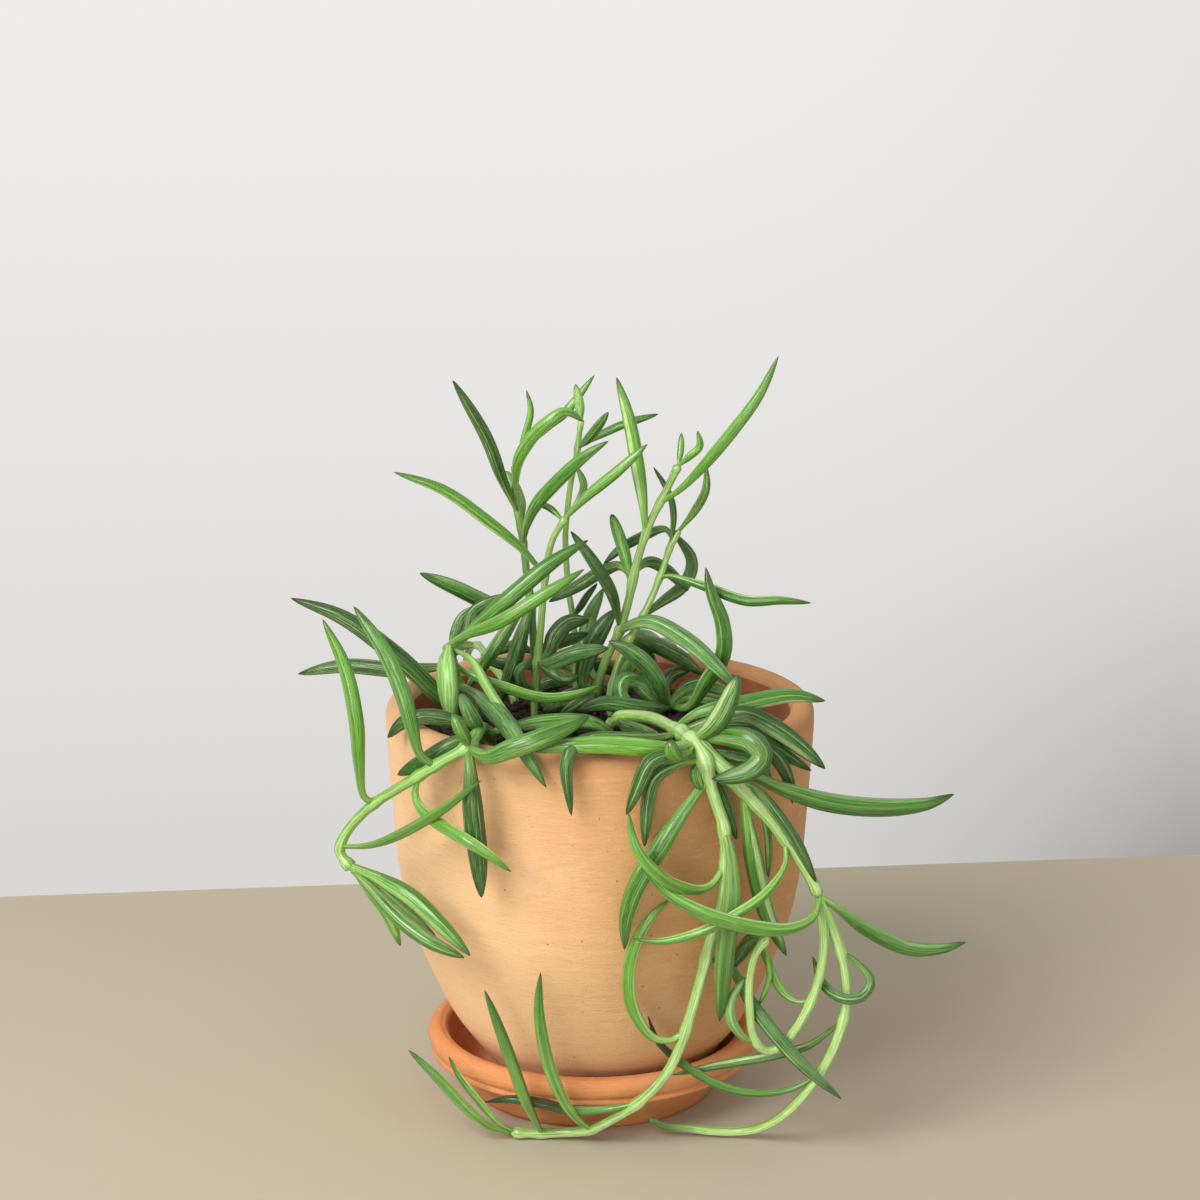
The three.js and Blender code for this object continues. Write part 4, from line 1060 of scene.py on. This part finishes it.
def fired_clay_group():
    """Fired clay: fine rings and scratches from the wheel, sandy grain, pits and pale smudges, with
    painted light and shade: paler at the lit left, deeper at the shaded right, and darker inside.
    """
    tree, given, made = new_group("Fired clay", [
        ("Clay", COLOUR, (0.85, 0.55, 0.3)),
        ("Deep clay", COLOUR, (0.8, 0.42, 0.17)),
        ("Damp clay", COLOUR, (0.42, 0.16, 0.06)),
        ("Dampness", NUMBER, 0.0),
        ("Ring strength", NUMBER, 0.5),
        ("Pit strength", NUMBER, 0.5),
        ("Smudge strength", NUMBER, 0.3),
    ], SURFACE)
    place = put(tree, "ShaderNodeTexCoord").outputs["Object"]
    across, _, height_up = put(tree, "ShaderNodeSeparateXYZ", Vector=place).outputs

    # Painted light and shade: the clay is paler at the lit left and deeper at the shaded right, and a
    # little deeper upward.
    toward_shade = sums(tree, "MULTIPLY_ADD", height_up, 0.4, across)
    clay = blend(tree, ramp(tree, toward_shade, -0.042, 0.066), given["Clay"], given["Deep clay"])
    dark = blend(tree, 0.75, clay, given["Damp clay"])
    pale = blend(tree, 0.5, clay, (0.95, 0.85, 0.7))

    rings = stretched_noise(tree, place, (9.0, 9.0, 620.0), 4.0, 0.65)
    scratches = stretched_noise(tree, place, (170.0, 170.0, 1500.0), 3.0, 0.6)
    bands = stretched_noise(tree, place, (6.0, 6.0, 90.0), 3.0, 0.55)
    grain = noise(tree, place, 1500.0, 3.0, 0.6)
    cloud = noise(tree, place, 24.0, 4.0, 0.6)

    # Pits lie in a few of the cells that the pattern makes.
    cells = put(tree, "ShaderNodeTexVoronoi", {"feature": "F1"}, Vector=place, Scale=420.0)
    cell_number = put(tree, "ShaderNodeSeparateColor", Color=cells.outputs["Color"]).outputs[0]
    pits = times(tree, ramp(tree, cells.outputs["Distance"], 0.14, 0.05),
                 ramp(tree, cell_number, 0.85, 0.97))
    pits = times(tree, pits, given["Pit strength"], clamp=True)

    ring_share = times(tree, ramp(tree, rings, 0.5, 0.78), given["Ring strength"])
    smudge = times(tree, ramp(tree, cloud, 0.58, 0.74), given["Smudge strength"])
    colour = clay
    for share, tint in (
            (ring_share, dark),
            (ramp(tree, scratches, 0.55, 0.72, 0.0, 0.17), dark),
            (ramp(tree, scratches, 0.45, 0.3, 0.0, 0.22), pale),
            (ramp(tree, bands, 0.52, 0.8, 0.0, 0.15), pale),
            (smudge, pale),
            (ramp(tree, cloud, 0.42, 0.25, 0.0, 0.12), dark),
            (ramp(tree, grain, 0.58, 0.78, 0.0, 0.4), dark),
            (ramp(tree, height_up, 0.111, 0.117, 0.0, 0.4), dark)):
        colour = blend(tree, share, colour, tint)

    # Painted light: the damp, shaded clay inside is a little paler at the right, where the inner wall
    # is lit.
    damp_and_shade = times(tree, given["Dampness"], ramp(tree, across, 0.026, 0.05, 1.0, 0.93))
    colour = blend(tree, damp_and_shade, colour, given["Damp clay"])
    colour = blend(tree, times(tree, pits, 0.75), colour, (0.2, 0.08, 0.035))
    tree.links.new(colour, made["Colour"])
    rough = sums(tree, "MULTIPLY_ADD", grain, 0.16, 0.7)
    tree.links.new(sums(tree, "MULTIPLY_ADD", given["Dampness"], -0.1, rough), made["Roughness"])
    height = sums(tree, "MULTIPLY_ADD", rings, 0.3, times(tree, grain, 0.5))
    height = sums(tree, "MULTIPLY_ADD", scratches, 0.35, height)
    tree.links.new(sums(tree, "MULTIPLY_ADD", pits, -1.2, height), made["Height"])
    return tree


# Relief in metres, the roughness of the gloss on leaves and stems, and that of soil and table.
SKIN_RELIEF = 0.0006
CLAY_RELIEF = 0.0003
SOIL_RELIEF = 0.0004
COAT_ROUGHNESS = 0.2
DULL = 0.92

# The colours that the skin's lines and painted flank shade, the stems' stripes of painted highlight and
# the dark of the soil lean to.
NEAR_BLACK_GREEN = (0.01, 0.04, 0.01)
HIGHLIGHT_WHITE_GREEN = (0.85, 1.0, 0.65)
NEAR_BLACK_BROWN = (0.004, 0.003, 0.002)

# The share of a leaf's length over which its foot is paler. A stem has no such foot.
FOOT_LENGTHS = {"leaf_long_footed": 0.85, "stem_skin": 1e-4, "deep_stem_skin": 1e-4}
USUAL_FOOT_LENGTH = 0.3

# Values of the skin's group that leaves share, and those that stems share.
LEAF_MARKINGS = {
    "Stripe_spread": 0.0, "Full_length": 1.0, "Point_strength": 0.8, "Flank_strength": 0.5}
STEM_MARKINGS = {
    "Stripe_spread": 0.1, "Full_length": 20.0, "Point_strength": 0.0, "Flank_strength": 0.4}


def group_of(name, build):
    """The node group of that name, built where it isn't there yet."""
    return bpy.data.node_groups.get(name) or build()


def surface(name, group, relief, coat=0.0, **values):
    """A material whose colour, roughness and relief come from a group with its own values.

    relief is in metres, and coat is the strength of the skin's own gloss.
    """
    finish = bpy.data.materials.new(name)
    finish.use_nodes = True
    tree = finish.node_tree
    shader = tree.nodes["Principled BSDF"]
    markings = put(tree, "ShaderNodeGroup", {"node_tree": group}, **values).outputs
    bump = put(tree, "ShaderNodeBump", Strength=1.0, Distance=relief, Height=markings["Height"])
    tree.links.new(markings["Colour"], shader.inputs["Base Color"])
    tree.links.new(markings["Roughness"], shader.inputs["Roughness"])
    tree.links.new(bump.outputs[0], shader.inputs["Normal"])
    if coat:
        shader.inputs["Coat Weight"].default_value = coat
        shader.inputs["Coat Roughness"].default_value = COAT_ROUGHNESS
    return finish


def mixed(first, second, share):
    """A colour between two."""
    return tuple(a + (b - a) * share for a, b in zip(first, second))


def plant_finishes(looks):
    """The materials of leaves and stems, by name."""
    group = group_of("Fleshy skin", fleshy_skin_group)

    # Each finish has its colour, its bloom and the strength of its gloss.
    skins = {
        "leaf_bright": (looks.bright_green, 0.04, 0.7),
        "leaf_long_footed": (mixed(looks.mid_green, looks.dark_green, 0.35), 0.03, 0.7),
        "leaf_mid": (looks.mid_green, 0.04, 0.5),
        "leaf_deep": (mixed(looks.mid_green, looks.dark_green, 0.45), 0.0, 0.32),
        "leaf_dark": (looks.dark_green, 0.09, 0.2),
        "leaf_blue": (looks.blue_green, 0.22, 0.2),
        "leaf_pale": (looks.pale_green, 0.3, 0.45),
        "stem_skin": (looks.stem_green, 0.12, 0.7),
        "deep_stem_skin": (looks.deep_stem_green, 0.12, 0.5),
    }
    finishes = {}
    for name, (skin, bloom, coat) in skins.items():
        stem = name.endswith("stem_skin")
        finishes[name] = surface(
            name, group, SKIN_RELIEF, coat=coat, Skin=skin, Bloom=bloom,
            Foot=mixed(skin, looks.stem_green, 0.9),
            Line=mixed(skin, NEAR_BLACK_GREEN, 0.72),
            # A stem's stripe leans to white: painted highlight.
            Stripe=mixed(looks.stripe_and_highlight_green, HIGHLIGHT_WHITE_GREEN, 0.15 if stem else 0.0),
            Withered=mixed(looks.withered_brown, skin, 0.4 if stem else 0.05),
            Foot_length=FOOT_LENGTHS.get(name, USUAL_FOOT_LENGTH),
            **(STEM_MARKINGS if stem else LEAF_MARKINGS))
    return finishes


# Pieces.

def smooth_outline(points, step):
    """A smooth outline in metres through points in mm, with a ring about every step."""
    places = np.array(points, float) * MM
    length = np.linalg.norm(np.diff(places, axis=0), axis=1).sum()
    line, _ = smooth_line(places, max(len(points), round(length / step)))
    return [tuple(place) for place in line]


def lip_arc(centre, size, steps):
    """The round crown of a lip in metres, from its outer side over the top to its inner side."""
    turns = [math.pi * (step + 0.5) / (steps + 1) for step in range(steps + 1)]
    return [((centre[0] + size * math.cos(turn)) * MM, (centre[1] + size * math.sin(turn)) * MM)
            for turn in turns]


def thrown(rings, depth):
    """Rings of a wall with the low, uneven ridges that the wheel leaves."""
    return [(radius + depth * math.sin(height * RIDGE_WAVE)
             * math.sin(height * RIDGE_FADE_WAVE + RIDGE_FADE_START), height)
            for radius, height in rings]


def clay_finish(name, clay, deep_clay, damp_clay, **values):
    """A material of fired clay."""
    return surface(name, group_of("Fired clay", fired_clay_group), CLAY_RELIEF,
                   Clay=clay, Deep_clay=deep_clay, Damp_clay=damp_clay, **values)


class SENECIO_OT_pot(bpy.types.Operator):
    """Models the clay pot ring by ring, with its round lip and its drainage hole"""

    bl_idname = "senecio.pot"
    bl_label = "Pot"

    def execute(self, context):
        clay = context.scene.senecio_clay
        step = clay.outline_step
        underside = POT_OUTSIDE[0][1] * MM
        outside = thrown(smooth_outline(POT_OUTSIDE, step), clay.throwing_depth)
        inside = smooth_outline(POT_INSIDE, 2 * step)
        rings = [
            (DRAIN_RADIUS * MM, underside),
            *outside,
            *lip_arc(POT_LIP_CENTRE, POT_LIP_RADIUS, POT_LIP_STEPS),
            *inside,
            (DRAIN_RADIUS * MM, POT_FLOOR * MM),
            (DRAIN_RADIUS * MM, underside),
        ]
        pot = ring_body("clay_pot", rings, clay.round_sides, "join")
        colours = (clay.pot_clay, clay.deep_clay, clay.damp_clay)
        pot.data.materials.append(clay_finish(
            "pot_clay", *colours, Dampness=0.0, Ring_strength=0.08, Pit_strength=0.7,
            Smudge_strength=0.3))
        pot.data.materials.append(clay_finish(
            "pot_clay_damp", *colours, Dampness=0.97, Ring_strength=0.3, Pit_strength=0.3,
            Smudge_strength=0.1))
        # Faces inside the pot below the lip's crown take the damp clay, which is partly painted shade.
        brim = POT_LIP_CENTRE[0] * MM
        damp_and_shade_top = (POT_LIP_CENTRE[1] + DAMP_AND_SHADE_ABOVE_LIP_CENTRE) * MM
        for face in pot.data.polygons:
            radius = math.hypot(face.center.x, face.center.y)
            faces_in = face.normal.x * face.center.x + face.normal.y * face.center.y < 0
            if faces_in and radius < brim and face.center.z < damp_and_shade_top:
                face.material_index = 1
        finish_piece(pot, "pot")
        return {"FINISHED"}


class SENECIO_OT_saucer(bpy.types.Operator):
    """Models the clay saucer ring by ring, with its rolled lip"""

    bl_idname = "senecio.saucer"
    bl_label = "Saucer"

    def execute(self, context):
        clay = context.scene.senecio_clay
        step = clay.outline_step
        crown = lip_arc(SAUCER_LIP_CENTRE, SAUCER_LIP_RADIUS, SAUCER_LIP_STEPS)
        radius, height = crown[SAUCER_CREASE]
        crown[SAUCER_CREASE] = (radius, height - clay.crease_depth)
        rings = [
            *smooth_outline(SAUCER_FOOT, step),
            *smooth_outline(SAUCER_GROOVE, step / 3),
            *crown,
            *smooth_outline(SAUCER_INSIDE, step),
            *[(radius * MM, SAUCER_FLOOR * MM) for radius in SAUCER_FLOOR_RADII],
        ]
        saucer = ring_body("clay_saucer", rings, clay.round_sides, "flat")
        edit_all()
        bpy.ops.transform.translate(value=(SAUCER_OFFSET * MM, 0, 0))
        bpy.ops.object.mode_set(mode="OBJECT")
        saucer.data.materials.append(clay_finish(
            "saucer_clay", clay.saucer_clay, clay.saucer_clay, clay.damp_clay, Dampness=0.0,
            Ring_strength=0.22, Pit_strength=0.5, Smudge_strength=0.2))
        finish_piece(saucer, "saucer")
        return {"FINISHED"}


def speckled_finish(name, colour, dark, scale):
    """A dull material speckled with a darker colour, for soil, bark and the table.

    The higher its scale is, the finer the specks are.
    """
    finish = bpy.data.materials.new(name)
    finish.use_nodes = True
    tree = finish.node_tree
    shader = tree.nodes["Principled BSDF"]
    place = put(tree, "ShaderNodeTexCoord").outputs["Object"]
    share = ramp(tree, noise(tree, place, scale, 4.0, 0.65), 0.3, 0.7)
    tree.links.new(blend(tree, share, dark, colour), shader.inputs["Base Color"])
    bump = put(tree, "ShaderNodeBump", Strength=1.0, Distance=SOIL_RELIEF, Height=share)
    tree.links.new(bump.outputs[0], shader.inputs["Normal"])
    shader.inputs["Roughness"].default_value = DULL
    return finish


def model_crumb(name, size, squash, seed):
    """One crumb, modelled once: a ball pushed out of shape and flattened."""
    start_piece()
    bpy.ops.mesh.primitive_ico_sphere_add(subdivisions=1, radius=size)
    crumb = bpy.context.object
    crumb.name = name
    edit_all()
    bpy.ops.transform.vertex_random(offset=size * CRUMB_UNEVENNESS, seed=seed)
    bpy.ops.transform.resize(value=squash, center_override=(0, 0, 0))
    bpy.ops.object.mode_set(mode="OBJECT")
    return crumb


def scatter(models, count, largest, tip, rng):
    """Copies of some crumbs, turned and sized at random, lying on the mound of soil."""
    made = []
    for number in range(count):
        crumb = copy_piece(models[number % len(models)], f"crumb_{number}")
        radius = (SOIL_RADIUS - SOIL_RIM) * math.sqrt(rng.random())
        turn = rng.uniform(0, 2 * math.pi)
        size = rng.uniform(SMALLEST_CRUMB, 1.0) ** CRUMB_SIZE_POWER
        crumb.rotation_euler = [rng.uniform(-tip, tip), rng.uniform(-tip, tip),
                                rng.uniform(0, CRUMB_SPIN)]
        crumb.scale = (size, size, size)
        crumb.location = (radius * math.cos(turn) * MM, radius * math.sin(turn) * MM,
                          soil_height(radius) * MM + CRUMB_LIFT * size * largest)
        made.append(crumb)
    return made


class SENECIO_OT_soil(bpy.types.Operator):
    """Models the potting soil: an uneven mound with crumbs, chips of bark and pale flecks"""

    bl_idname = "senecio.soil"
    bl_label = "Potting soil"

    def execute(self, context):
        looks = context.scene.senecio_soil
        plug = DRAIN_RADIUS - PLUG_GAP
        floor_radius, floor_height = POT_INSIDE[-1]
        walls = [(radius - SOIL_GAP, height) for radius, height in POT_INSIDE[-2:0:-1]]
        radii = [SOIL_RADIUS * (1 - step / MOUND_RINGS) for step in range(MOUND_RINGS)]
        outline = [
            (plug, POT_OUTSIDE[0][1] + PLUG_RISE),
            (plug, POT_FLOOR + PLUG_GAP),
            (floor_radius - 2 * SOIL_GAP, floor_height + PLUG_GAP),
            *walls,
            *[(radius, soil_height(radius)) for radius in radii],
        ]
        rings = [(radius * MM, height * MM) for radius, height in outline]
        soil = ring_body("potting_soil", rings, SOIL_SIDES, "point")
        top = soil.vertex_groups.new(name="top")
        reach = (SOIL_RADIUS - SOIL_RIM) * MM
        inner = [point.index for point in soil.data.vertices
                 if point.co.z > SOIL_TOP_FROM * MM and point.co.xy.length < reach]
        top.add(inner, 1.0, "REPLACE")
        lumps = bpy.data.textures.new("soil_lumps", "CLOUDS")
        lumps.noise_scale = LUMP_SIZE * MM
        lumps.noise_depth = 3
        uneven = soil.modifiers.new("uneven_top", "DISPLACE")
        uneven.texture = lumps
        uneven.texture_coords = "LOCAL"
        uneven.direction = "Z"
        uneven.strength = looks.roughness
        uneven.vertex_group = top.name
        start_piece()
        soil.select_set(True)
        bpy.context.view_layer.objects.active = soil
        bpy.ops.object.modifier_apply(modifier=uneven.name)
        dark = mixed(looks.soil_brown, NEAR_BLACK_BROWN, 0.7)
        soil.data.materials.append(speckled_finish("damp_soil", looks.soil_brown, dark, 700.0))

        rng = random.Random(CRUMB_SEED)
        size = looks.crumb_size
        crumbs = [model_crumb(f"soil_crumb_{n}", size, CRUMB_SHAPE, n) for n in range(3)]
        chips = [model_crumb(f"bark_chip_{n}", size * CHIP_SIZE, CHIP_SHAPE, 20 + n) for n in range(3)]
        flecks = [model_crumb("pale_fleck", size * FLECK_SIZE, FLECK_SHAPE, 40)]

        # Each kind has its models, how many lie on the soil, how far they tip, and its finish.
        kinds = [
            (crumbs, looks.crumbs, CRUMB_TIP,
             speckled_finish("soil_crumbs", looks.soil_brown, dark, 900.0)),
            (chips, looks.chips, CHIP_TIP,
             speckled_finish("bark_chips", looks.bark_brown, looks.soil_brown, 600.0)),
            (flecks, looks.chips // 2, CRUMB_TIP,
             speckled_finish("pale_flecks", looks.fleck_pale, looks.bark_brown, 900.0)),
        ]
        pieces = [soil]
        for models, count, tip, finish in kinds:
            for model in models:
                model.data.materials.append(finish)
            pieces += scatter(models, count, size, tip, rng)
            delete_pieces(models)
        soil = join_pieces("potting_soil", pieces)
        finish_piece(soil, "soil")
        return {"FINISHED"}


def leaf_outline(kind, share, looks):
    """Half the width of a leaf by the share of the way to its tip: a narrow foot and a full middle."""
    step = min(share / LEAF_FULL_FROM, 1)
    width = looks.leaf_foot + (1 - looks.leaf_foot) * step * step * (3 - 2 * step)
    if kind == "blunt":
        late, steep = BLUNT_END
        end = max(0, (share - BLUNT_FROM) / (1 - BLUNT_FROM))
        return width * (1 - end ** late) ** steep
    late, steep = POINTED_END
    end = max(0, (share - looks.leaf_taper_from) / (1 - looks.leaf_taper_from))
    width *= (1 - end ** late) ** steep
    if kind == "withered":
        folds = math.sin(share * SHRIVEL_WAVE) ** 2 * min(1, 2 * share)
        width *= 1 - SHRIVELLING * folds
    return width


def model_leaf(kind, looks):
    """A straight leaf of that kind, modelled once: one unit long, and two wide where it is fullest."""
    count = looks.leaf_rings
    rings = []
    for number in range(count):
        even = number / (count - 1)
        crowded = 0.5 - 0.5 * math.cos(math.pi * even)
        share = (1 - RING_CROWDING) * even + RING_CROWDING * crowded
        rings.append((max(leaf_outline(kind, share, looks), LEAF_POINT), share))
    leaf = ring_body(f"leaf_{kind}", rings, looks.leaf_sides, "point")
    map_skin(leaf.data)
    bpy.ops.object.mode_set(mode="EDIT")
    bpy.ops.mesh.select_mode(type="VERT")
    bpy.ops.mesh.select_all(action="DESELECT")
    bpy.ops.object.mode_set(mode="OBJECT")
    for point in leaf.data.vertices:
        point.select = point.co.y > TOUCHING
    bpy.ops.object.mode_set(mode="EDIT")
    bpy.ops.transform.resize(value=(1, looks.leaf_flatness, 1), center_override=(0, 0, 0))
    bpy.ops.object.mode_set(mode="OBJECT")
    return leaf


def make_leaf(models, finishes, place, width, look, points, rng):
    """A copy of the leaf of that look, laid along its points from its place on the stem."""
    finish, kind, stripe, lines, withered_from = LOOKS[look]
    places = np.array([place, *(seen(point) for point in points[1:])])
    line, _ = smooth_line(places, LINE_POINTS)
    middle = line[len(line) // 2]
    to_eye = unit(np.array([0, -EYE_BACK, EYE_HEIGHT]) * MM - middle)
    bend = (line[0] + line[-1]) / 2 - middle
    hollow = bend / max(np.linalg.norm(bend), FULL_BEND)
    leaf = copy_piece(models[kind], "leaf")
    shares = places_of(leaf.data)[:, 2]
    mark_skin(leaf.data, shares, rng.random(), stripe, lines, withered_from)
    lay_along(leaf, line, TO_VIEWER * to_eye + TO_HOLLOW * hollow + TO_SKY, width / 2 * MM)
    leaf.data.materials.append(finishes[finish])
    return leaf


def make_run(number, line, length, width, nodes, withered_from, finish, stripe, looks, rng):
    """One run of stem along a line: it tapers, swells where leaves leave it, and ends round."""
    count = max(FEWEST_RUN_RINGS, math.ceil(length / looks.ring_step))
    rings = []
    for ring in range(count + 1):
        share = ring / count
        radius = 1 - STEM_TAPER * share
        for node in nodes:
            away = (share - node) * length / (SWELLING_REACH * width * MM)
            radius += looks.node_swelling * math.exp(-away * away)
        left = (1 - share) * length / (width * MM)
        radius *= math.sqrt(max(1 - max(0, 1 - left) ** 2, RUN_END))
        if number > 0:
            grown = min(1, share * length / BRANCH_FULL_AFTER)
            radius *= BRANCH_START + (1 - BRANCH_START) * grown
        rings.append((radius, share))
    run = ring_body(f"run_{number}", rings, looks.stem_sides, "point")
    map_skin(run.data, length / MARKINGS_LENGTH)
    mark_skin(run.data, places_of(run.data)[:, 2], rng.random(), stripe, STEM_LINES, withered_from)
    lay_along(run, line, STEM_FACING, width / 2 * MM)
    run.data.materials.append(finish)
    return run


def stem_lines(stem):
    """The smooth line of each of a stem's runs, and the runs' lengths."""
    lines = []
    lengths = []
    for number, (_, *points) in enumerate(stem["runs"]):
        places = [seen(point) for point in points]
        if number == 0:
            root = stem["root"]
            ground = soil_height(math.hypot(*root))
            places = [np.array([*root, ground - ROOT_DEPTH]) * MM,
                      np.array([*root, ground + ROOT_STUB]) * MM, *places]
        else:
            places[0] = nearest_on(lines, places[0])[0]
        _, length = smooth_line(np.array(places), FEWEST_RUN_POINTS)
        line, _ = smooth_line(np.array(places), max(FEWEST_RUN_POINTS, round(length / MM)))
        lines.append(line)
        lengths.append(length)
    return lines, lengths


def make_leafy_stem(stem, models, finishes, looks, rng):
    """A leafy stem: its leaves and its runs, joined into one mesh."""
    name = stem["name"]
    lines, lengths = stem_lines(stem)
    pieces = []
    nodes = [[] for _ in lines]
    for width, look, *points in stem["leaves"]:
        place, number, share = nearest_on(lines, seen(points[0]))
        nodes[number].append(share)
        pieces.append(make_leaf(models, finishes, place, width, look, points, rng))
    skin = finishes["deep_stem_skin" if name in GREENER_STEMS else "stem_skin"]
    stripe = STRONG_STRIPE_HIGHLIGHT if name in HIGHLIGHTED_STEMS else WEAK_STRIPE_HIGHLIGHT
    for number, (width, *_) in enumerate(stem["runs"]):
        withered_from = WITHERED_RUNS.get((name, number), NEVER)
        pieces.append(make_run(number, lines[number], lengths[number], width, nodes[number],
                               withered_from, skin, stripe, looks, rng))
    return join_pieces("leafy_" + name, pieces)


class SENECIO_OT_leafy_stems(bpy.types.Operator):
    """Models the leafy stems: one leaf of each kind, copied and laid along every leaf's own curve"""

    bl_idname = "senecio.leafy_stems"
    bl_label = "Leafy stems"

    def execute(self, context):
        looks = context.scene.senecio_plant
        finishes = plant_finishes(looks)
        models = {kind: model_leaf(kind, looks) for kind in ("pointed", "blunt", "withered")}
        rng = random.Random(PLANT_SEED)
        for stem in LEAFY_STEMS:
            leafy = make_leafy_stem(stem, models, finishes, looks, rng)
            finish_piece(leafy, stem["name"])
        delete_pieces(models.values())
        return {"FINISHED"}


def soft_light(name, place, target, size, power, colour):
    """A large square light that faces a point."""
    start_piece()
    bpy.ops.object.light_add(type="AREA", location=place)
    light = bpy.context.object
    light.name = name
    light.rotation_euler = (Vector(target) - Vector(place)).to_track_quat("-Z", "Y").to_euler()
    light.data.size = size
    light.data.energy = power
    light.data.color = colour


def room_world(brightness):
    """Soft light from all sides, and a pale grey wall tone with painted shade that the camera sees
    behind the table.

    The numbers are parts of the view's direction: across is -0.2 at the picture's left edge and 0.2 at
    its right one, and up falls from -0.03 at its top to -0.42 at its foot.
    """
    world = bpy.data.worlds.new("soft_room")
    bpy.context.scene.world = world
    world.use_nodes = True
    tree = world.node_tree
    tree.nodes.clear()
    ahead = put(tree, "ShaderNodeTexCoord").outputs["Generated"]
    across, _, up = put(tree, "ShaderNodeSeparateXYZ", Vector=ahead).outputs

    # Painted shade on the wall: it deepens downward, and darkens toward the right, most of all low
    # down.
    lower = sums(tree, "MULTIPLY_ADD", up, -3.56, -0.11, clamp=True)
    wall_with_painted_shade = blend(tree, sums(tree, "POWER", lower, 1.3), (0.863, 0.852, 0.838), (0.7, 0.683, 0.663))
    sideways = sums(tree, "POWER", times(tree, across, 5.05, clamp=True), 2.0)
    low = sums(tree, "MULTIPLY_ADD", up, -8.26, -1.57, clamp=True)
    shade = sums(tree, "MULTIPLY_ADD", sums(tree, "POWER", low, 1.5), 0.38, 0.085)
    wall_with_painted_shade = blend(tree, times(tree, sideways, shade), wall_with_painted_shade, (0.0, 0.0, 0.0))
    seen_wall = put(tree, "ShaderNodeBackground", Color=wall_with_painted_shade, Strength=1.0).outputs[0]
    glow = put(tree, "ShaderNodeBackground", Color=(1.0, 0.955, 0.9), Strength=brightness).outputs[0]
    from_camera = put(tree, "ShaderNodeLightPath").outputs["Is Camera Ray"]
    both = put(tree, "ShaderNodeMixShader", i0=from_camera, i1=glow, i2=seen_wall)
    put(tree, "ShaderNodeOutputWorld", Surface=both.outputs[0])


class SENECIO_OT_stage(bpy.types.Operator):
    """Sets the table, the soft studio light and the camera at the photograph's angle"""

    bl_idname = "senecio.stage"
    bl_label = "Stage"

    def execute(self, context):
        looks = context.scene.senecio_stage
        start_piece()
        bpy.ops.mesh.primitive_plane_add(size=TABLE_SIZE)
        table = context.object
        table.name = "table_top"
        edit_all()
        bpy.ops.mesh.bisect(plane_co=TABLE_EDGE, plane_no=TABLE_EDGE_FACES, clear_outer=True)
        bpy.ops.object.mode_set(mode="OBJECT")
        worn = mixed(looks.table_colour, (0.5, 0.44, 0.32), 0.3)
        table.data.materials.append(speckled_finish("table_paint", looks.table_colour, worn, 3.0))

        for name, (power, place, aim_height, size, colour) in LIGHTS.items():
            soft_light(name, place, (0, 0, aim_height), size, getattr(looks, power), colour)
        room_world(looks.room_light)

        start_piece()
        bpy.ops.object.camera_add(
            location=(0, -EYE_BACK * MM, EYE_HEIGHT * MM), rotation=(math.pi / 2 - EYE_PITCH, 0, 0))
        camera = context.object
        camera.name = "front_view"
        camera.data.sensor_width = SENSOR_MM
        camera.data.lens = EYE_FOCAL / VIEW_PIXELS * SENSOR_MM
        camera.data.clip_start = CLIP_START
        camera.data.clip_end = CLIP_END
        context.scene.camera = camera
        context.scene.view_settings.view_transform = "Standard"
        return {"FINISHED"}


class SENECIO_PT_panel(bpy.types.Panel):
    """Lists the steps of the potted senecio and their settings"""

    bl_idname = "SENECIO_PT_panel"
    bl_label = "Potted senecio"
    bl_space_type = "VIEW_3D"
    bl_region_type = "UI"
    bl_category = "Senecio"

    def draw(self, context):
        for step in STEPS:
            self.layout.operator(step.bl_idname)
        for name, settings in SETTINGS.items():
            box = self.layout.box()
            box.label(text=settings.__doc__)
            for prop in settings.__annotations__:
                box.prop(getattr(context.scene, name), prop)


STEPS = (SENECIO_OT_stage, SENECIO_OT_pot, SENECIO_OT_saucer, SENECIO_OT_soil,
         SENECIO_OT_leafy_stems)
SETTINGS = {
    "senecio_plant": PlantSettings,
    "senecio_clay": ClaySettings,
    "senecio_soil": SoilSettings,
    "senecio_stage": StageSettings,
}


def register():
    """Registers the settings, the steps and the panel."""
    for name, settings in SETTINGS.items():
        bpy.utils.register_class(settings)
        setattr(bpy.types.Scene, name, PointerProperty(type=settings))
    for step in (*STEPS, SENECIO_PT_panel):
        bpy.utils.register_class(step)


def unregister():
    """Takes the panel, the steps and the settings away again."""
    for step in (SENECIO_PT_panel, *reversed(STEPS)):
        bpy.utils.unregister_class(step)
    for name, settings in SETTINGS.items():
        delattr(bpy.types.Scene, name)
        bpy.utils.unregister_class(settings)


def main():
    """Builds the whole scene."""
    register()
    bpy.ops.senecio.stage()
    bpy.ops.senecio.pot()
    bpy.ops.senecio.saucer()
    bpy.ops.senecio.soil()
    bpy.ops.senecio.leafy_stems()


if __name__ == "__main__":
    main()
